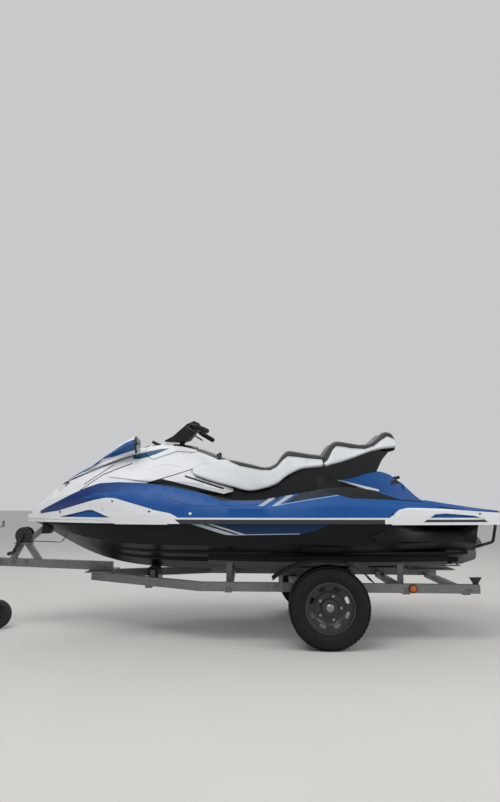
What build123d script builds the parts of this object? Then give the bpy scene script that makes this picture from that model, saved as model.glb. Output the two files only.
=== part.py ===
"""A three-seat personal watercraft on its single-axle road trailer.

Millimetres, +Z up, the ground at Z = 0. +X runs aft and +Y to starboard. Every station below is
measured aft from the tip of the bow, and each piece is moved by BOW_X as it is written, so that
the origin is on the ground in the middle of the whole length.
"""

import os

from build123d import *

# Whole craft
CRAFT_LENGTH = 3560
COUPLER_STATION = -680
STEP_STATION = 3600
BOW_X = -(COUPLER_STATION + STEP_STATION) / 2
HULL_TOP = 800
RAIL_TOP = 842
RAIL_PROUD = 24
TALL = 2000
SMALLEST = 4000
SCRAP = 40000

# Jet pump
PUMP_Z = 560
TRANSOM_TOP = 3335
TRANSOM_BOTTOM = 3265
PUMP_BORE_R = 80
SHAFT_R = 14

# Trailer
WHEEL_STATION = 2262
TYRE_R = 266
TYRE_WIDTH = 148
WHEEL_Y = 700
RIM_R = 165
RAIL_Y = 500
FRAME_HEIGHT = 60
JOCKEY_STATION = -228
JOCKEY_TRAIL = 55
JOCKEY_R = 105


def plate(points, half_width):
    """A side-view outline, (station, z) points, made that wide to each side of the centre plane."""
    outline = Plane.XZ * make_face(Polyline(*points, close=True))
    return extrude(outline, amount=half_width, both=True)


def slab(points, low, high):
    """A plan outline, (station, y) points, raised from low to high."""
    return Pos(0, 0, low) * extrude(make_face(Polyline(*points, close=True)), amount=high - low)


def both_sides(shape):
    """The shape and its mirror image across the centre plane, as one compound."""
    return Compound(children=[*shape.solids(), *mirror(shape, Plane.XZ).solids()])


def block(low, high):
    """A box between two opposite corners."""
    size = [b - a for a, b in zip(low, high)]
    middle = [(a + b) / 2 for a, b in zip(low, high)]
    return Pos(*middle) * Box(*size)


def rod(start, end, radius):
    """A round bar from one point to another."""
    way = Vector(*end) - Vector(*start)
    return Plane(origin=start, z_dir=way) * Cylinder(
        radius, way.length, align=(Align.CENTER, Align.CENTER, Align.MIN)
    )


def beam(start, end, width, height):
    """A rectangular bar between two points, its height in the plane of Z."""
    way = Vector(*end) - Vector(*start)
    across = Vector(0, 0, 1).cross(way)
    return Plane(origin=start, x_dir=across, z_dir=way) * Box(
        width, height, way.length, align=(Align.CENTER, Align.CENTER, Align.MIN)
    )


def tube(points, radius, bend):
    """A round bar bent through the points, each corner an arc of that radius."""
    path = FilletPolyline(*points, radius=bend)
    return sweep(Plane(origin=path @ 0, z_dir=path % 0) * Circle(radius), path)


def ring_loft(stations):
    """A smooth body through closed sections, each (station, half outline from the bottom centre
    to the top centre), mirrored across the centre plane."""
    faces = []
    for station, half in stations:
        points = [(station, y, z) for y, z in half]
        points += [(station, -y, z) for y, z in reversed(half) if y > 0]
        faces.append(Face(Wire.make_polygon(points, close=True)))
    return loft(faces)


def gunwale(inset):
    """The plan of the gunwale, drawn in by inset, as a prism over the whole height."""
    tip = 26
    side = [(tip + inset, 82 - inset), (500, 366 - inset), (1300, 566 - inset)]
    mid = [side[2], (2200, 616 - inset), (3150, 588 - inset)]
    quarter = [mid[2], (3330, 568 - inset), (3470 - inset, 535 - inset)]
    corner = [quarter[2], (3528 - inset, 500 - inset), (3548 - inset, 440 - inset)]
    arcs = [ThreePointArc(*side), ThreePointArc(*mid), ThreePointArc(*quarter), ThreePointArc(*corner)]
    mirrored = [mirror(a, Plane.XZ) for a in arcs]
    bow = ThreePointArc((tip + inset, 82 - inset), (inset, 0), (tip + inset, inset - 82))
    stern = ThreePointArc(corner[2], (CRAFT_LENGTH - inset, 0), (corner[2][0], -corner[2][1]))
    face = make_face([*arcs, *mirrored, bow, stern])
    return extrude(face, amount=TALL)


# The deck's outer body: station, half breadth at the gunwale, crease y and z, shoulder y and z, centre z
OUTER_ROWS = [
    (8, 40, 32, 846, 20, 852, 855),
    (100, 150, 128, 885, 96, 922, 925),
    (300, 275, 262, 935, 228, 992, 998),
    (600, 395, 396, 975, 352, 1072, 1080),
    (900, 480, 478, 958, 425, 1078, 1086),
    (1150, 530, 522, 940, 455, 1062, 1070),
    (1620, 585, 572, 900, 500, 958, 966),
    (2050, 605, 590, 905, 508, 992, 1000),
    (2450, 605, 590, 925, 505, 1045, 1050),
    (2830, 600, 580, 900, 505, 972, 980),
    (3165, 590, 566, 880, 500, 925, 935),
    (3570, 560, 530, 850, 470, 862, 866),
]


def outer_body(grow):
    """The deck's sides, bulwarks and platform as one body, grown by that much."""
    stations = []
    for station, beam_y, crease_y, crease_z, shoulder_y, shoulder_z, centre_z in OUTER_ROWS:
        half = [
            (0, HULL_TOP),
            (beam_y + grow, HULL_TOP),
            (beam_y + grow, RAIL_TOP),
            (crease_y + grow, crease_z + grow / 2),
            (shoulder_y + grow, shoulder_z + grow / 2),
            (shoulder_y - 12, shoulder_z + grow + 3),
            (0, centre_z + grow),
        ]
        stations.append((station, half))
    return ring_loft(stations)


# The centre body ahead of the seat: station, foot y and z, waist y and z, shoulder y and z, crown z
SPINE_ROWS = [
    (70, 52, 845, 46, 880, 24, 905, 912),
    (300, 222, 900, 214, 1000, 128, 1082, 1112),
    (600, 346, 950, 340, 1085, 248, 1200, 1280),
    (900, 392, 950, 380, 1105, 268, 1290, 1372),
    (1150, 350, 860, 336, 1100, 218, 1330, 1392),
    (1400, 300, 820, 288, 1080, 168, 1285, 1345),
    (1640, 270, 820, 258, 1050, 140, 1190, 1235),
]


def spine(grow):
    """The bow's upper deck and the console as one body, grown by that much, or shrunk behind its tip."""
    stations = []
    rows = SPINE_ROWS if grow >= 0 else SPINE_ROWS[1:]
    for station, foot_y, foot_z, waist_y, waist_z, shoulder_y, shoulder_z, crown_z in rows:
        half = [
            (0, foot_z),
            (foot_y + grow, foot_z),
            (waist_y + grow, waist_z),
            (shoulder_y + grow * 0.7, shoulder_z + grow * 0.7),
            (shoulder_y * 0.5, shoulder_z * 0.3 + crown_z * 0.7 + grow),
            (0, crown_z + grow),
        ]
        stations.append((station, half))
    return ring_loft(stations)


# The black seat base: station, foot y, waist y and z, top y and z
BASE_ROWS = [
    (1380, 292, 286, 980, 262, 1118),
    (1600, 282, 276, 930, 262, 1062),
    (1750, 276, 270, 920, 258, 1027),
    (1968, 270, 262, 950, 250, 1084),
    (2100, 268, 260, 990, 246, 1168),
    (2255, 266, 258, 1020, 244, 1204),
    (2438, 264, 254, 1060, 240, 1239),
    (2557, 262, 250, 1100, 236, 1288),
    (2720, 258, 244, 1160, 228, 1330),
    (2900, 250, 232, 1200, 212, 1352),
]


def seat_base_body(grow):
    """The black base that carries both seats, grown by that much."""
    stations = []
    for station, foot_y, waist_y, waist_z, top_y, top_z in BASE_ROWS:
        half = [
            (0, HULL_TOP),
            (foot_y + grow, HULL_TOP),
            (waist_y + grow, waist_z),
            (top_y + grow, top_z),
            (0, top_z + 4 + grow),
        ]
        stations.append((station, half))
    return ring_loft(stations)


# The tail under the seat base: station, foot y, shoulder y and z, crown z
TAIL_ROWS = [
    (2180, 270, 255, 1040, 1060),
    (2400, 285, 268, 1105, 1122),
    (2700, 290, 250, 1160, 1182),
    (2790, 288, 236, 1145, 1170),
    (2910, 280, 218, 1060, 1085),
    (3072, 262, 196, 925, 950),
    (3150, 250, 182, 860, 885),
]


def tail_body(grow):
    """The tail behind the seats, falling to the platform, grown by that much."""
    stations = []
    for station, foot_y, shoulder_y, shoulder_z, crown_z in TAIL_ROWS:
        half = [
            (0, HULL_TOP),
            (foot_y + grow, HULL_TOP),
            (shoulder_y + grow, shoulder_z + grow / 2),
            (shoulder_y * 0.6, shoulder_z * 0.3 + crown_z * 0.7 + grow),
            (0, crown_z + grow),
        ]
        stations.append((station, half))
    return ring_loft(stations)


# The seats' top lines, each a chain of arcs through (station, z) points, and their undersides
FRONT_SEAT_TOP = [
    (1330, 1186), (1470, 1240), (1600, 1264), (1740, 1232), (1880, 1207), (1975, 1246), (2025, 1312),
    (2062, 1335), (2120, 1324), (2220, 1308), (2332, 1300),
]
FRONT_SEAT_BOTTOM = [(2332, 1150), (2100, 1120), (1968, 1050), (1750, 1000), (1600, 1020), (1330, 1080)]
REAR_SEAT_TOP = [
    (2340, 1302), (2368, 1340), (2402, 1392), (2438, 1420), (2500, 1404), (2580, 1386), (2660, 1384),
    (2725, 1424), (2775, 1480), (2830, 1484), (2884, 1464),
]
REAR_SEAT_BOTTOM = [(2892, 1335), (2720, 1300), (2557, 1250), (2438, 1200), (2340, 1170)]
# Seat sides: station, half breadth at the foot and at the top
SEAT_SIDES = [(1300, 306, 276), (1750, 292, 240), (2332, 264, 224), (2900, 224, 184)]
SEAT_FOOT = 1000
SEAT_HEAD = 1500


def seat_body(top, bottom):
    """A cushion: its side outline, drawn in to the seats' sloping sides."""
    arcs = [ThreePointArc(*top[i : i + 3]) for i in range(0, len(top) - 2, 2)]
    lower = Polyline(top[-1], *bottom, top[0])
    profile = extrude(Plane.XZ * make_face([*arcs, lower]), amount=400, both=True)
    sections = []
    for station, foot_y, head_y in SEAT_SIDES:
        points = [(-foot_y, SEAT_FOOT), (foot_y, SEAT_FOOT), (head_y, SEAT_HEAD), (-head_y, SEAT_HEAD)]
        sections.append(Face(Wire.make_polygon([(station, y, z) for y, z in points], close=True)))
    return profile & loft(sections, ruled=True)


# The hull: station, keel z, chine y and z, half breadth at the top
HULL_ROWS = [
    (60, 786, 26, 793, 90),
    (250, 690, 100, 742, 245),
    (450, 585, 225, 700, 340),
    (750, 487, 380, 662, 448),
    (1200, 442, 496, 645, 552),
    (1900, 436, 552, 640, 604),
    (2600, 436, 562, 640, 606),
    (3360, 436, 545, 645, 580),
]
STRAKES = [(0.36, 0.44), (0.68, 0.75)]


def hull_body(grow):
    """The planing hull with a chine flat to each side, grown by that much."""
    stations = []
    for station, keel_z, chine_y, chine_z, top_y in HULL_ROWS:
        half = [
            (0, keel_z - grow),
            (chine_y, chine_z - grow),
            (chine_y * 1.04 + 4 + grow, chine_z + 4),
            (top_y + grow, HULL_TOP),
            (0, HULL_TOP),
        ]
        stations.append((station, half))
    return ring_loft(stations)


def strake(start, end):
    """A spray strake along the port bottom, a wedge with a level underside."""
    faces = []
    for station, keel_z, chine_y, chine_z, _ in HULL_ROWS[3:]:
        rise = chine_z - keel_z
        inner, outer = chine_y * start, chine_y * end
        low = keel_z + rise * start
        points = [
            (station, -inner, low + 3),
            (station, -outer, low),
            (station, -outer - 4, keel_z + rise * end + 6),
        ]
        faces.append(Face(Wire.make_polygon(points, close=True)))
    return loft(faces)


# Side-view outlines, (station, z), of the mouldings laid over the deck
BOW_BUMPER = [
    (-20, 820), (560, 822), (690, 818), (790, 790), (1165, 790), (1120, 858), (1060, 862), (960, 876),
    (840, 905), (700, 950), (600, 974), (520, 972), (380, 945), (240, 905), (100, 862), (-20, 842),
]
BOW_WINDOW = [(330, 836), (560, 888), (600, 888), (740, 836)]
STERN_BUMPER = [
    (2715, 790), (2830, 893), (2900, 906), (3100, 899), (3300, 884), (3460, 874), (3600, 866), (3600, 790),
]
STERN_WINDOW = [(2935, 808), (3020, 862), (3100, 868), (3300, 852), (3370, 830), (3400, 808)]
# The parting line of the hood, from its nose to its rear corner
HOOD_NOSE = (262, 1078)
HOOD_KNEE = (640, 1222)
HOOD_REAR = (938, 1318)


def plan_slab(inset, low, high):
    """A slice of the gunwale's plan between two heights."""
    return gunwale(inset) & block((-100, -900, low), (3800, 900, high))


# Pieces
parts = {}


def keep(name, shape, smallest=SMALLEST):
    """Record a finished piece under its node name, as a compound of its solids."""
    solids = [s for s in shape.solids() if s.volume > smallest]
    parts[name] = Compound(children=[Pos(BOW_X, 0, 0) * s for s in solids])
    parts[name].label = name


# Envelopes
OUTER = outer_body(0) & gunwale(RAIL_PROUD)
SPINE = spine(0)
BASE = seat_base_body(0)
TAIL = tail_body(0)
HULL = hull_body(0) & gunwale(RAIL_PROUD)

# Engine and pump
ENGINE_BAY = ((1480, -250, 500), (2330, 250, 960))
ENGINE = ((1560, -200, 515), (2260, 200, 940))
TUNNEL_HALF = 132
TUNNEL_START = 2640
BULKHEAD = 2945
PIVOT = 3352
EAR_TOP = 104
NOZZLE_BELL_R = 92
BUCKET_R = 165
DUCT_R = 102
TAPER_START = 3190
TAPER_END = 3285
OUTLET = 3360
OUTLET_R = 60
PIN_R = 7
PIN_PLAY = 0.06


def transom_cut():
    """Everything behind the raked transom."""
    return plate(
        [(TRANSOM_BOTTOM - 6, 405), (TRANSOM_TOP, HULL_TOP), (4000, HULL_TOP), (4000, 405)], 900
    )


def tunnel():
    """The pump tunnel: a rising intake duct, then the open chamber behind the bulkhead."""
    duct = plate([(TUNNEL_START, 405), (2900, 405), (2960, 480), (2960, 640), (2900, 640)], 95)
    chamber = block((BULKHEAD, -TUNNEL_HALF, 400), (3600, TUNNEL_HALF, 700))
    return duct + chamber


def make_hull():
    """The planing hull with its strakes, engine bay and pump tunnel."""
    strakes = [strake(*run) for run in STRAKES]
    body = HULL + strakes + [mirror(s, Plane.XZ) for s in strakes]
    shaft_way = rod((2300, 0, PUMP_Z), (3000, 0, PUMP_Z), SHAFT_R + 4)
    return body - transom_cut() - tunnel() - block(*ENGINE_BAY) - shaft_way


def turned_on_pump(profile):
    """A round shape about the pump's axis, from (station, radius) points."""
    face = Plane.XZ * make_face(Polyline(*[(u, PUMP_Z + r) for u, r in profile], close=True))
    return revolve(face, Axis((0, 0, PUMP_Z), (1, 0, 0)))


def make_pump():
    """The pump housing: a duct with its stator, the tapered nozzle and the ears with their pins."""
    profile = [
        (BULKHEAD, PUMP_BORE_R), (TAPER_START, PUMP_BORE_R), (TAPER_END, OUTLET_R - 8), (OUTLET, OUTLET_R - 8),
        (OUTLET, OUTLET_R), (TAPER_END, OUTLET_R), (TAPER_START, DUCT_R), (BULKHEAD, DUCT_R),
    ]
    flange = Pos(BULKHEAD + 8, 0, PUMP_Z) * Box(16, 236, 236)
    flange -= rod((BULKHEAD, 0, PUMP_Z), (BULKHEAD + 16, 0, PUMP_Z), PUMP_BORE_R)
    body = turned_on_pump(profile) + flange
    hub = turned_on_pump([(3070, 0), (3070, 34), (3220, 34), (3290, 8), (3290, 0)])
    vane = Pos(3140, 0, PUMP_Z + 58) * Box(110, 7, 54)
    for turn in range(6):
        hub += spun(vane, turn * 60 + 30)
    hub -= rod((3060, 0, PUMP_Z), (3120, 0, PUMP_Z), SHAFT_R + PIN_PLAY)
    body += hub
    for turn in range(4):
        ear = Pos(3302, 0, PUMP_Z + EAR_TOP) * Box(140, 36, 8)
        foot = Pos(3242, 0, PUMP_Z + 88) * Box(20, 36, 40)
        pin = rod((PIVOT, 0, PUMP_Z + EAR_TOP), (PIVOT, 0, PUMP_Z + 84), PIN_R)
        if turn % 2:
            pin = rod((PIVOT, 0, PUMP_Z + EAR_TOP), (PIVOT, 0, PUMP_Z + 128), PIN_R)
        body += spun(ear + foot + pin, turn * 90)
    return body


def spun(shape, turn):
    """The shape turned by that many degrees about the pump's axis."""
    return shape.rotate(Axis((0, 0, PUMP_Z), (1, 0, 0)), turn)


def make_impeller():
    """The impeller: a hub with four pitched blades, on the shaft that runs in from the engine."""
    hub = rod((2962, 0, PUMP_Z), (3058, 0, PUMP_Z), 34)
    blade = Pos(3010, 0, PUMP_Z + 55) * Rot(0, 0, 38) * Box(84, 6, 46)
    body = hub
    for turn in range(4):
        body += spun(blade, turn * 90)
    body &= rod((2950, 0, PUMP_Z), (3065, 0, PUMP_Z), PUMP_BORE_R - 1)
    return body + rod((2262, 0, PUMP_Z), (3115, 0, PUMP_Z), SHAFT_R)


def make_nozzle():
    """The steering nozzle: a bell round the pump's outlet, tapering aft, with its pivot bores."""
    profile = [(3330, 84), (3375, 84), (3484, 52), (3484, 60), (3380, NOZZLE_BELL_R), (3330, NOZZLE_BELL_R)]
    return turned_on_pump(profile) - rod((PIVOT, 0, PUMP_Z - 130), (PIVOT, 0, PUMP_Z + 130), PIN_R + PIN_PLAY)


def make_bucket():
    """The reverse bucket, raised: a curved shell on two side arms."""
    ring = Pos(PIVOT, 0, PUMP_Z) * Rot(90, 0, 0) * (Cylinder(BUCKET_R + 10, 240) - Cylinder(BUCKET_R, 250))
    inner = plate([(PIVOT, PUMP_Z), (PIVOT + 400, PUMP_Z + 150), (PIVOT + 400, 1200), (PIVOT - 40, 1200)], 130)
    shell = ring & inner
    disc = Pos(PIVOT, 0, PUMP_Z) * Rot(90, 0, 0) * Cylinder(BUCKET_R + 10, 8)
    arm = (disc & inner) + Pos(PIVOT, 0, PUMP_Z) * Rot(90, 0, 0) * Cylinder(22, 8)
    body = shell + Pos(0, 116, 0) * arm + Pos(0, -116, 0) * arm
    return body - rod((PIVOT, -140, PUMP_Z), (PIVOT, 140, PUMP_Z), PIN_R + PIN_PLAY)


def make_grate():
    """The intake grate: three bars and a cross bar flush with the keel."""
    body = block((2700, -90, 448), (2712, 90, 458))
    for y in (-44, 0, 44):
        body += block((2652, y - 5, 445), (2895, y + 5, 462))
    return body


hull = make_hull()
pump = make_pump()
ride_plate = block((BULKHEAD + 1, -TUNNEL_HALF + 1, 434), (3290, TUNNEL_HALF - 1, 441))
keep("hull", hull, SCRAP)
keep("engine", block(*ENGINE) - rod((2200, 0, PUMP_Z), (2300, 0, PUMP_Z), SHAFT_R + PIN_PLAY))
keep("ride_plate", ride_plate)
keep("intake_grate", make_grate() - hull - ride_plate)
keep("pump_housing", pump)
keep("impeller", make_impeller())
keep("steering_nozzle", make_nozzle())
keep("reverse_bucket", make_bucket())

# Deck
FOOTWELL = [(1330, 318), (1400, 302), (1650, 296), (2500, 300), (3010, 300), (3010, 486), (1750, 492), (1400, 452)]
FOOTWELL_FLOOR = 850
PLATFORM_FLOOR = 880
BIN = [(470, 150), (560, 205), (880, 240), (880, -240), (560, -205), (470, -150)]
BIN_FLOOR = 860
GLOVE = ((1330, -95, 1130), (1497, 95, 1420))
HOOD_GAP = 6
HOOD_THICK = 22


def parting(drop):
    """The space above the hood's parting line, lowered by drop."""
    nose_u, nose_z = HOOD_NOSE
    knee_u, knee_z = HOOD_KNEE
    rear_u, rear_z = HOOD_REAR
    line = [(nose_u - drop, nose_z - 2 * drop), (knee_u, knee_z - drop), (rear_u + drop, rear_z - drop)]
    return plate([(nose_u - drop, 1800), *line, (rear_u + drop, 1800)], 600)


def make_deck():
    """The deck: bulwarks, bow, console and tail in one moulding, with its wells cut out."""
    body = OUTER + (SPINE & gunwale(RAIL_PROUD)) + TAIL
    wells = slab(FOOTWELL, FOOTWELL_FLOOR, TALL)
    platform = block((3000, -466, PLATFORM_FLOOR), (3700, 466, TALL))
    cut = both_sides(wells).fuse(platform) - TAIL - SPINE
    body -= cut
    body -= parting(HOOD_GAP)
    body -= slab(BIN, BIN_FLOOR, TALL)
    body -= block(*GLOVE)
    body -= block(*ENGINE_BAY)
    return body


deck_solid = make_deck()
BASE_HEEL = [(2701, 1000), (2701, 1176), (2742, 1256), (2809, 1334), (2905, 1346), (3000, 1346), (3000, 1000)]
base = (BASE & block((1300, -400, HULL_TOP), (2895, 400, TALL))) - TAIL - SPINE - OUTER - plate(BASE_HEEL, 400)

keep("deck", deck_solid)
keep("seat_base", base, SCRAP)

# Hood: the lid over the front bin, with its hinge
HINGE_U = 300
HINGE_Z = 1066
HINGE_HALF = 70
TRENCH_R = 62
TRENCH_HALF = 190


def make_hood():
    """The hood: a shell over the bin, with two knuckles on its hinge pin."""
    shell = (SPINE - spine(-HOOD_THICK)) & parting(0)
    knuckle = block((HINGE_U - 12, 51, HINGE_Z - 12), (HINGE_U + 12, 65, HINGE_Z + 80))
    knuckle &= spine(-HOOD_THICK / 2)
    body = shell + knuckle + mirror(knuckle, Plane.XZ)
    return body - rod((HINGE_U, -90, HINGE_Z), (HINGE_U, 90, HINGE_Z), PIN_R + PIN_PLAY)


hood = make_hood()
deck_solid -= rod((HINGE_U, -TRENCH_HALF, HINGE_Z), (HINGE_U, TRENCH_HALF, HINGE_Z), TRENCH_R)
hinge = rod((HINGE_U, -HINGE_HALF, HINGE_Z), (HINGE_U, HINGE_HALF, HINGE_Z), PIN_R)
for y in (-HINGE_HALF + 28, HINGE_HALF - 28):
    hinge += block((HINGE_U - 7, y - 4, HINGE_Z - TRENCH_R - 6), (HINGE_U + 7, y + 4, HINGE_Z + 7))
keep("deck", deck_solid)
keep("hood", hood)
keep("hood_hinge", hinge - deck_solid - hood)

# Mirrors on the hood: station, middle y and z, half width, half height
MIRROR_ROWS = [
    (640, -272, 1262, 26, 18),
    (720, -288, 1296, 62, 34),
    (820, -302, 1340, 88, 52),
    (904, -312, 1364, 96, 60),
]


def make_mirror():
    """The port mirror housing, a wedge that opens towards the rider."""
    faces = []
    for station, y, z, half_width, half_height in MIRROR_ROWS:
        points = [
            (station, y - half_width, z + half_height * 0.2),
            (station, y - half_width * 0.7, z + half_height),
            (station, y + half_width, z + half_height * 0.7),
            (station, y + half_width, z - half_height * 0.6),
            (station, y - half_width * 0.4, z - half_height),
        ]
        faces.append(Face(Wire.make_polygon(points, close=True)))
    return loft(faces)


housing = make_mirror() - SPINE
glass_pocket = Pos(904, -316, 1364) * Box(16, 150, 84)
glass = Pos(902, -316, 1364) * Box(8, 148, 82)
housing -= glass_pocket
keep("mirror_housings", both_sides(housing))
keep("mirror_glasses", both_sides(glass - housing))

# Seats
front_seat = seat_body(FRONT_SEAT_TOP, FRONT_SEAT_BOTTOM) - SPINE - BASE - OUTER
rear_seat = seat_body(REAR_SEAT_TOP, REAR_SEAT_BOTTOM) - BASE
keep("front_seat", front_seat)
keep("rear_seat", rear_seat)

# Glove box lid, hinged at its rear edge
LID = ((1335, -90), (1492, 90))
LID_THICK = 16
LID_PIVOT = (1506, 1322)
LID_BARREL_HALF = 32
LID_BARREL_R = 7
LID_PIN_R = 4
lid_space = block((LID[0][0], LID[0][1], 1000), (LID[1][0], LID[1][1], 1500))


def make_lid():
    """The glove box lid, with its hinge's barrel standing just behind it."""
    u, z = LID_PIVOT
    barrel = rod((u, -LID_BARREL_HALF, z), (u, LID_BARREL_HALF, z), LID_BARREL_R)
    leaf = plate([(1478, 1303), (1478, 1318), (u, z + LID_BARREL_R), (u, z - 1.5)], LID_BARREL_HALF)
    body = ((SPINE - spine(-LID_THICK)) & lid_space) + leaf + barrel
    return body - rod((u, -60, z), (u, 60, z), LID_PIN_R + PIN_PLAY)


def make_lid_ears():
    """The pin of the glove box lid and the two ears that hold it over the console."""
    u, z = LID_PIVOT
    body = rod((u, -50, z), (u, 50, z), LID_PIN_R)
    for y in (-44, 44):
        body += block((u - 7, y - 6, 1260), (u + 7, y + 6, z + 7))
    return body


lid = make_lid()
deck_solid += make_lid_ears()
keep("deck", deck_solid)
keep("glovebox_lid", lid)

# Console side panels and their dark lower strips
PANEL = [(700, 1130), (1010, 1092), (1260, 1040), (1558, 1000), (1600, 1010), (1420, 1140), (1300, 1180), (1180, 1150), (960, 1240), (760, 1230)]
STRIP = [(985, 1094), (1258, 1036), (1560, 994), (1690, 986), (1684, 968), (1520, 950), (1145, 1050), (960, 1070)]
skin = spine(9) - SPINE
panels = (skin & plate(PANEL, 600)) - OUTER - front_seat - BASE
keep("knee_panels", panels)

# Bumpers and rub rail
bumper_skin = ((outer_body(12) & gunwale(RAIL_PROUD - 12)) + (plan_slab(0, 790, 858) - plan_slab(60, 700, 900)))
bumper_skin = bumper_skin - OUTER - HULL
bow_bumper = bumper_skin & plate(BOW_BUMPER, 900)
bow_bumper -= plate(BOW_WINDOW, 900)
stern_bumper = bumper_skin & plate(STERN_BUMPER, 900)
stern_bumper -= plate(STERN_WINDOW, 900)
rub_rail = plan_slab(4, 796, 838) - plan_slab(60, 700, 900) - OUTER - HULL - bow_bumper - stern_bumper
keep("bow_bumper", bow_bumper - SPINE)
keep("stern_bumper", stern_bumper)
keep("rub_rail", rub_rail, SCRAP)

# Tail fairing and grab handle
FAIRING = [(2400, 1114), (2662, 1020), (2885, 960), (3080, 945), (3160, 1300), (2400, 1300)]
fairing = ((tail_body(9) - TAIL) & plate(FAIRING, 400)) - BASE - OUTER
HANDLE_U = 2900
HANDLE_Z = 1132
handle = rod((HANDLE_U, -88, HANDLE_Z), (HANDLE_U, 88, HANDLE_Z), 12)
for y in (-88, 88):
    handle += Pos(HANDLE_U, y, HANDLE_Z) * Sphere(12)
    handle += rod((HANDLE_U, y, HANDLE_Z), (HANDLE_U - 60, y, HANDLE_Z - 20), 11)
handle -= TAIL
keep("tail_fairing", fairing - handle)
keep("grab_handle", handle)

# Cowl cap, gauge and handlebar
AXIS_FOOT = Vector(1196, 0, 1398)
AXIS_WAY = Vector(0.42, 0, 0.9075)
COLUMN_R = 20
PAD = [(1060, 1420), (1130, 1458), (1240, 1556), (1296, 1580), (1338, 1560), (1318, 1500), (1262, 1430), (1200, 1412)]
CAP = [(948, 1308), (1010, 1262), (1185, 1330), (1300, 1322), (1326, 1330), (1326, 1500), (948, 1500)]


BAR_R = 11
GRIP_R = 18


def along(distance):
    """A point on the steering axis."""
    return AXIS_FOOT + AXIS_WAY * distance


def column(radius, start, end):
    """A round bar on the steering axis."""
    return Plane(origin=along(start), z_dir=AXIS_WAY) * Cylinder(
        radius, end - start, align=(Align.CENTER, Align.CENTER, Align.MIN)
    )


def make_handlebar():
    """The handlebar: its column, pad and bar as one piece."""
    pad = plate(PAD, 62)
    body = pad + column(COLUMN_R, -70, 40)
    half = tube([(1268, 0, 1532), (1282, -190, 1536), (1412, -352, 1470)], BAR_R, 60)
    return body + half + mirror(half, Plane.XZ)


def make_grips():
    """The two grips with their end caps."""
    start, end = Vector(1282, -190, 1536), Vector(1412, -352, 1470)
    grip = rod(start + (end - start) * 0.3, start + (end - start) * 1.08, GRIP_R) - rod(start, end, BAR_R)
    return both_sides(grip)


def make_levers():
    """The throttle lever and the reverse lever, each a blade ahead of its grip."""
    blade = rod((1290, -196, 1520), (1256, -236, 1505), 7) + Pos(1256, -236, 1505) * Sphere(7)
    blade += rod((1256, -236, 1505), (1330, -338, 1462), 6)
    return both_sides(blade)


handlebar = make_handlebar()
grips = make_grips()
levers = make_levers()
column_way = column(COLUMN_R + PIN_PLAY, -76, 200)
deck_solid -= column_way
cap = (skin & plate(CAP, 600)) - panels - lid_space - column(COLUMN_R + 5, -76, 200) - parting(HOOD_GAP)
gauge = (Pos(1000, 0, 1398) * Rot(0, 24, 0) * Box(70, 150, 22)) - SPINE - cap - parting(HOOD_GAP)
keep("deck", deck_solid)
keep("cowl_cap", cap)
keep("gauge", gauge)
keep("handlebar", handlebar)
keep("grips", grips - handlebar)
keep("levers", levers - handlebar - grips)

# Mats, sponsons, eyes
MAT = 3


def make_mats():
    """The footwell mats and the platform mat."""
    foot = slab([(u, y) for u, y in FOOTWELL], FOOTWELL_FLOOR, FOOTWELL_FLOOR + MAT)
    foot &= block((1420, 306, 800), (2980, 470, 900))
    platform = block((3015, -440, PLATFORM_FLOOR), (3500, 440, PLATFORM_FLOOR + MAT))
    return Compound(children=[*both_sides(foot).solids(), *(platform - TAIL).solids()])


keep("deck_mats", make_mats() - deck_solid - fairing)
SPONSON = [(2560, 712), (2640, 680), (3190, 676), (3225, 700), (3190, 742), (2640, 744)]
sponsons = ((hull_body(26) - hull_body(0)) & plate(SPONSON, 900)) - HULL
keep("sponsons", sponsons)


def eye(u, y, z, way, size):
    """A U-shaped eye, standing out along way from a foot at (u, y, z)."""
    out = Vector(*way).normalized() * size
    foot = Vector(u, y, z) - out * 0.4
    side = Vector(0, size * 0.5, 0)
    body = rod(foot - side, foot + out * 1.4 - side, 5) + rod(foot + side, foot + out * 1.4 + side, 5)
    body += rod(foot + out * 1.4 - side, foot + out * 1.4 + side, 5)
    body += Pos(*(foot + out * 1.4 - side)) * Sphere(5) + Pos(*(foot + out * 1.4 + side)) * Sphere(5)
    return body


bow_eye = eye(292, 0, 668, (-0.6, 0, -0.8), 34) - hull
stern_eyes = eye(3322, -430, 735, (1, 0, 0), 30) - hull
keep("hull_eyes", Compound(children=[*bow_eye.solids(), *both_sides(stern_eyes).solids()]))

# Boarding step: a sprung tube that folds down behind the transom
STEP_PIVOT = (3400, 604)
STEP_KNEE = (3560, 650)
STEP_HEAD = (3589, 786)
STEP_Y = 210
STEP_TUBE_R = 11
STEP_PIN_R = 8


def make_step():
    """The boarding step: two bent legs with eyes, joined by the tread tube."""
    pivot_u, pivot_z = STEP_PIVOT
    half = [(pivot_u, STEP_Y, pivot_z), (STEP_KNEE[0], STEP_Y, STEP_KNEE[1]), (STEP_HEAD[0], STEP_Y, STEP_HEAD[1])]
    body = tube([*half, *[(u, -y, z) for u, y, z in reversed(half)]], STEP_TUBE_R, 30)
    for y in (-STEP_Y, STEP_Y):
        body += rod((pivot_u, y - 12, pivot_z), (pivot_u, y + 12, pivot_z), 19)
    return body - rod((pivot_u, -300, pivot_z), (pivot_u, 300, pivot_z), STEP_PIN_R + PIN_PLAY)


def make_step_brackets():
    """The two transom brackets that carry the step on their pins."""
    u, z = STEP_PIVOT
    arm = block((3270, 180, z - 18), (u + 14, 188, z + 18)) + block((3270, 160, z - 40), (3312, 188, z + 40))
    pin = rod((u, 184, z), (u, STEP_Y + 16, z), STEP_PIN_R)
    return both_sides((arm + pin) - hull)


keep("boarding_step", make_step())
keep("step_brackets", make_step_brackets())

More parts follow.
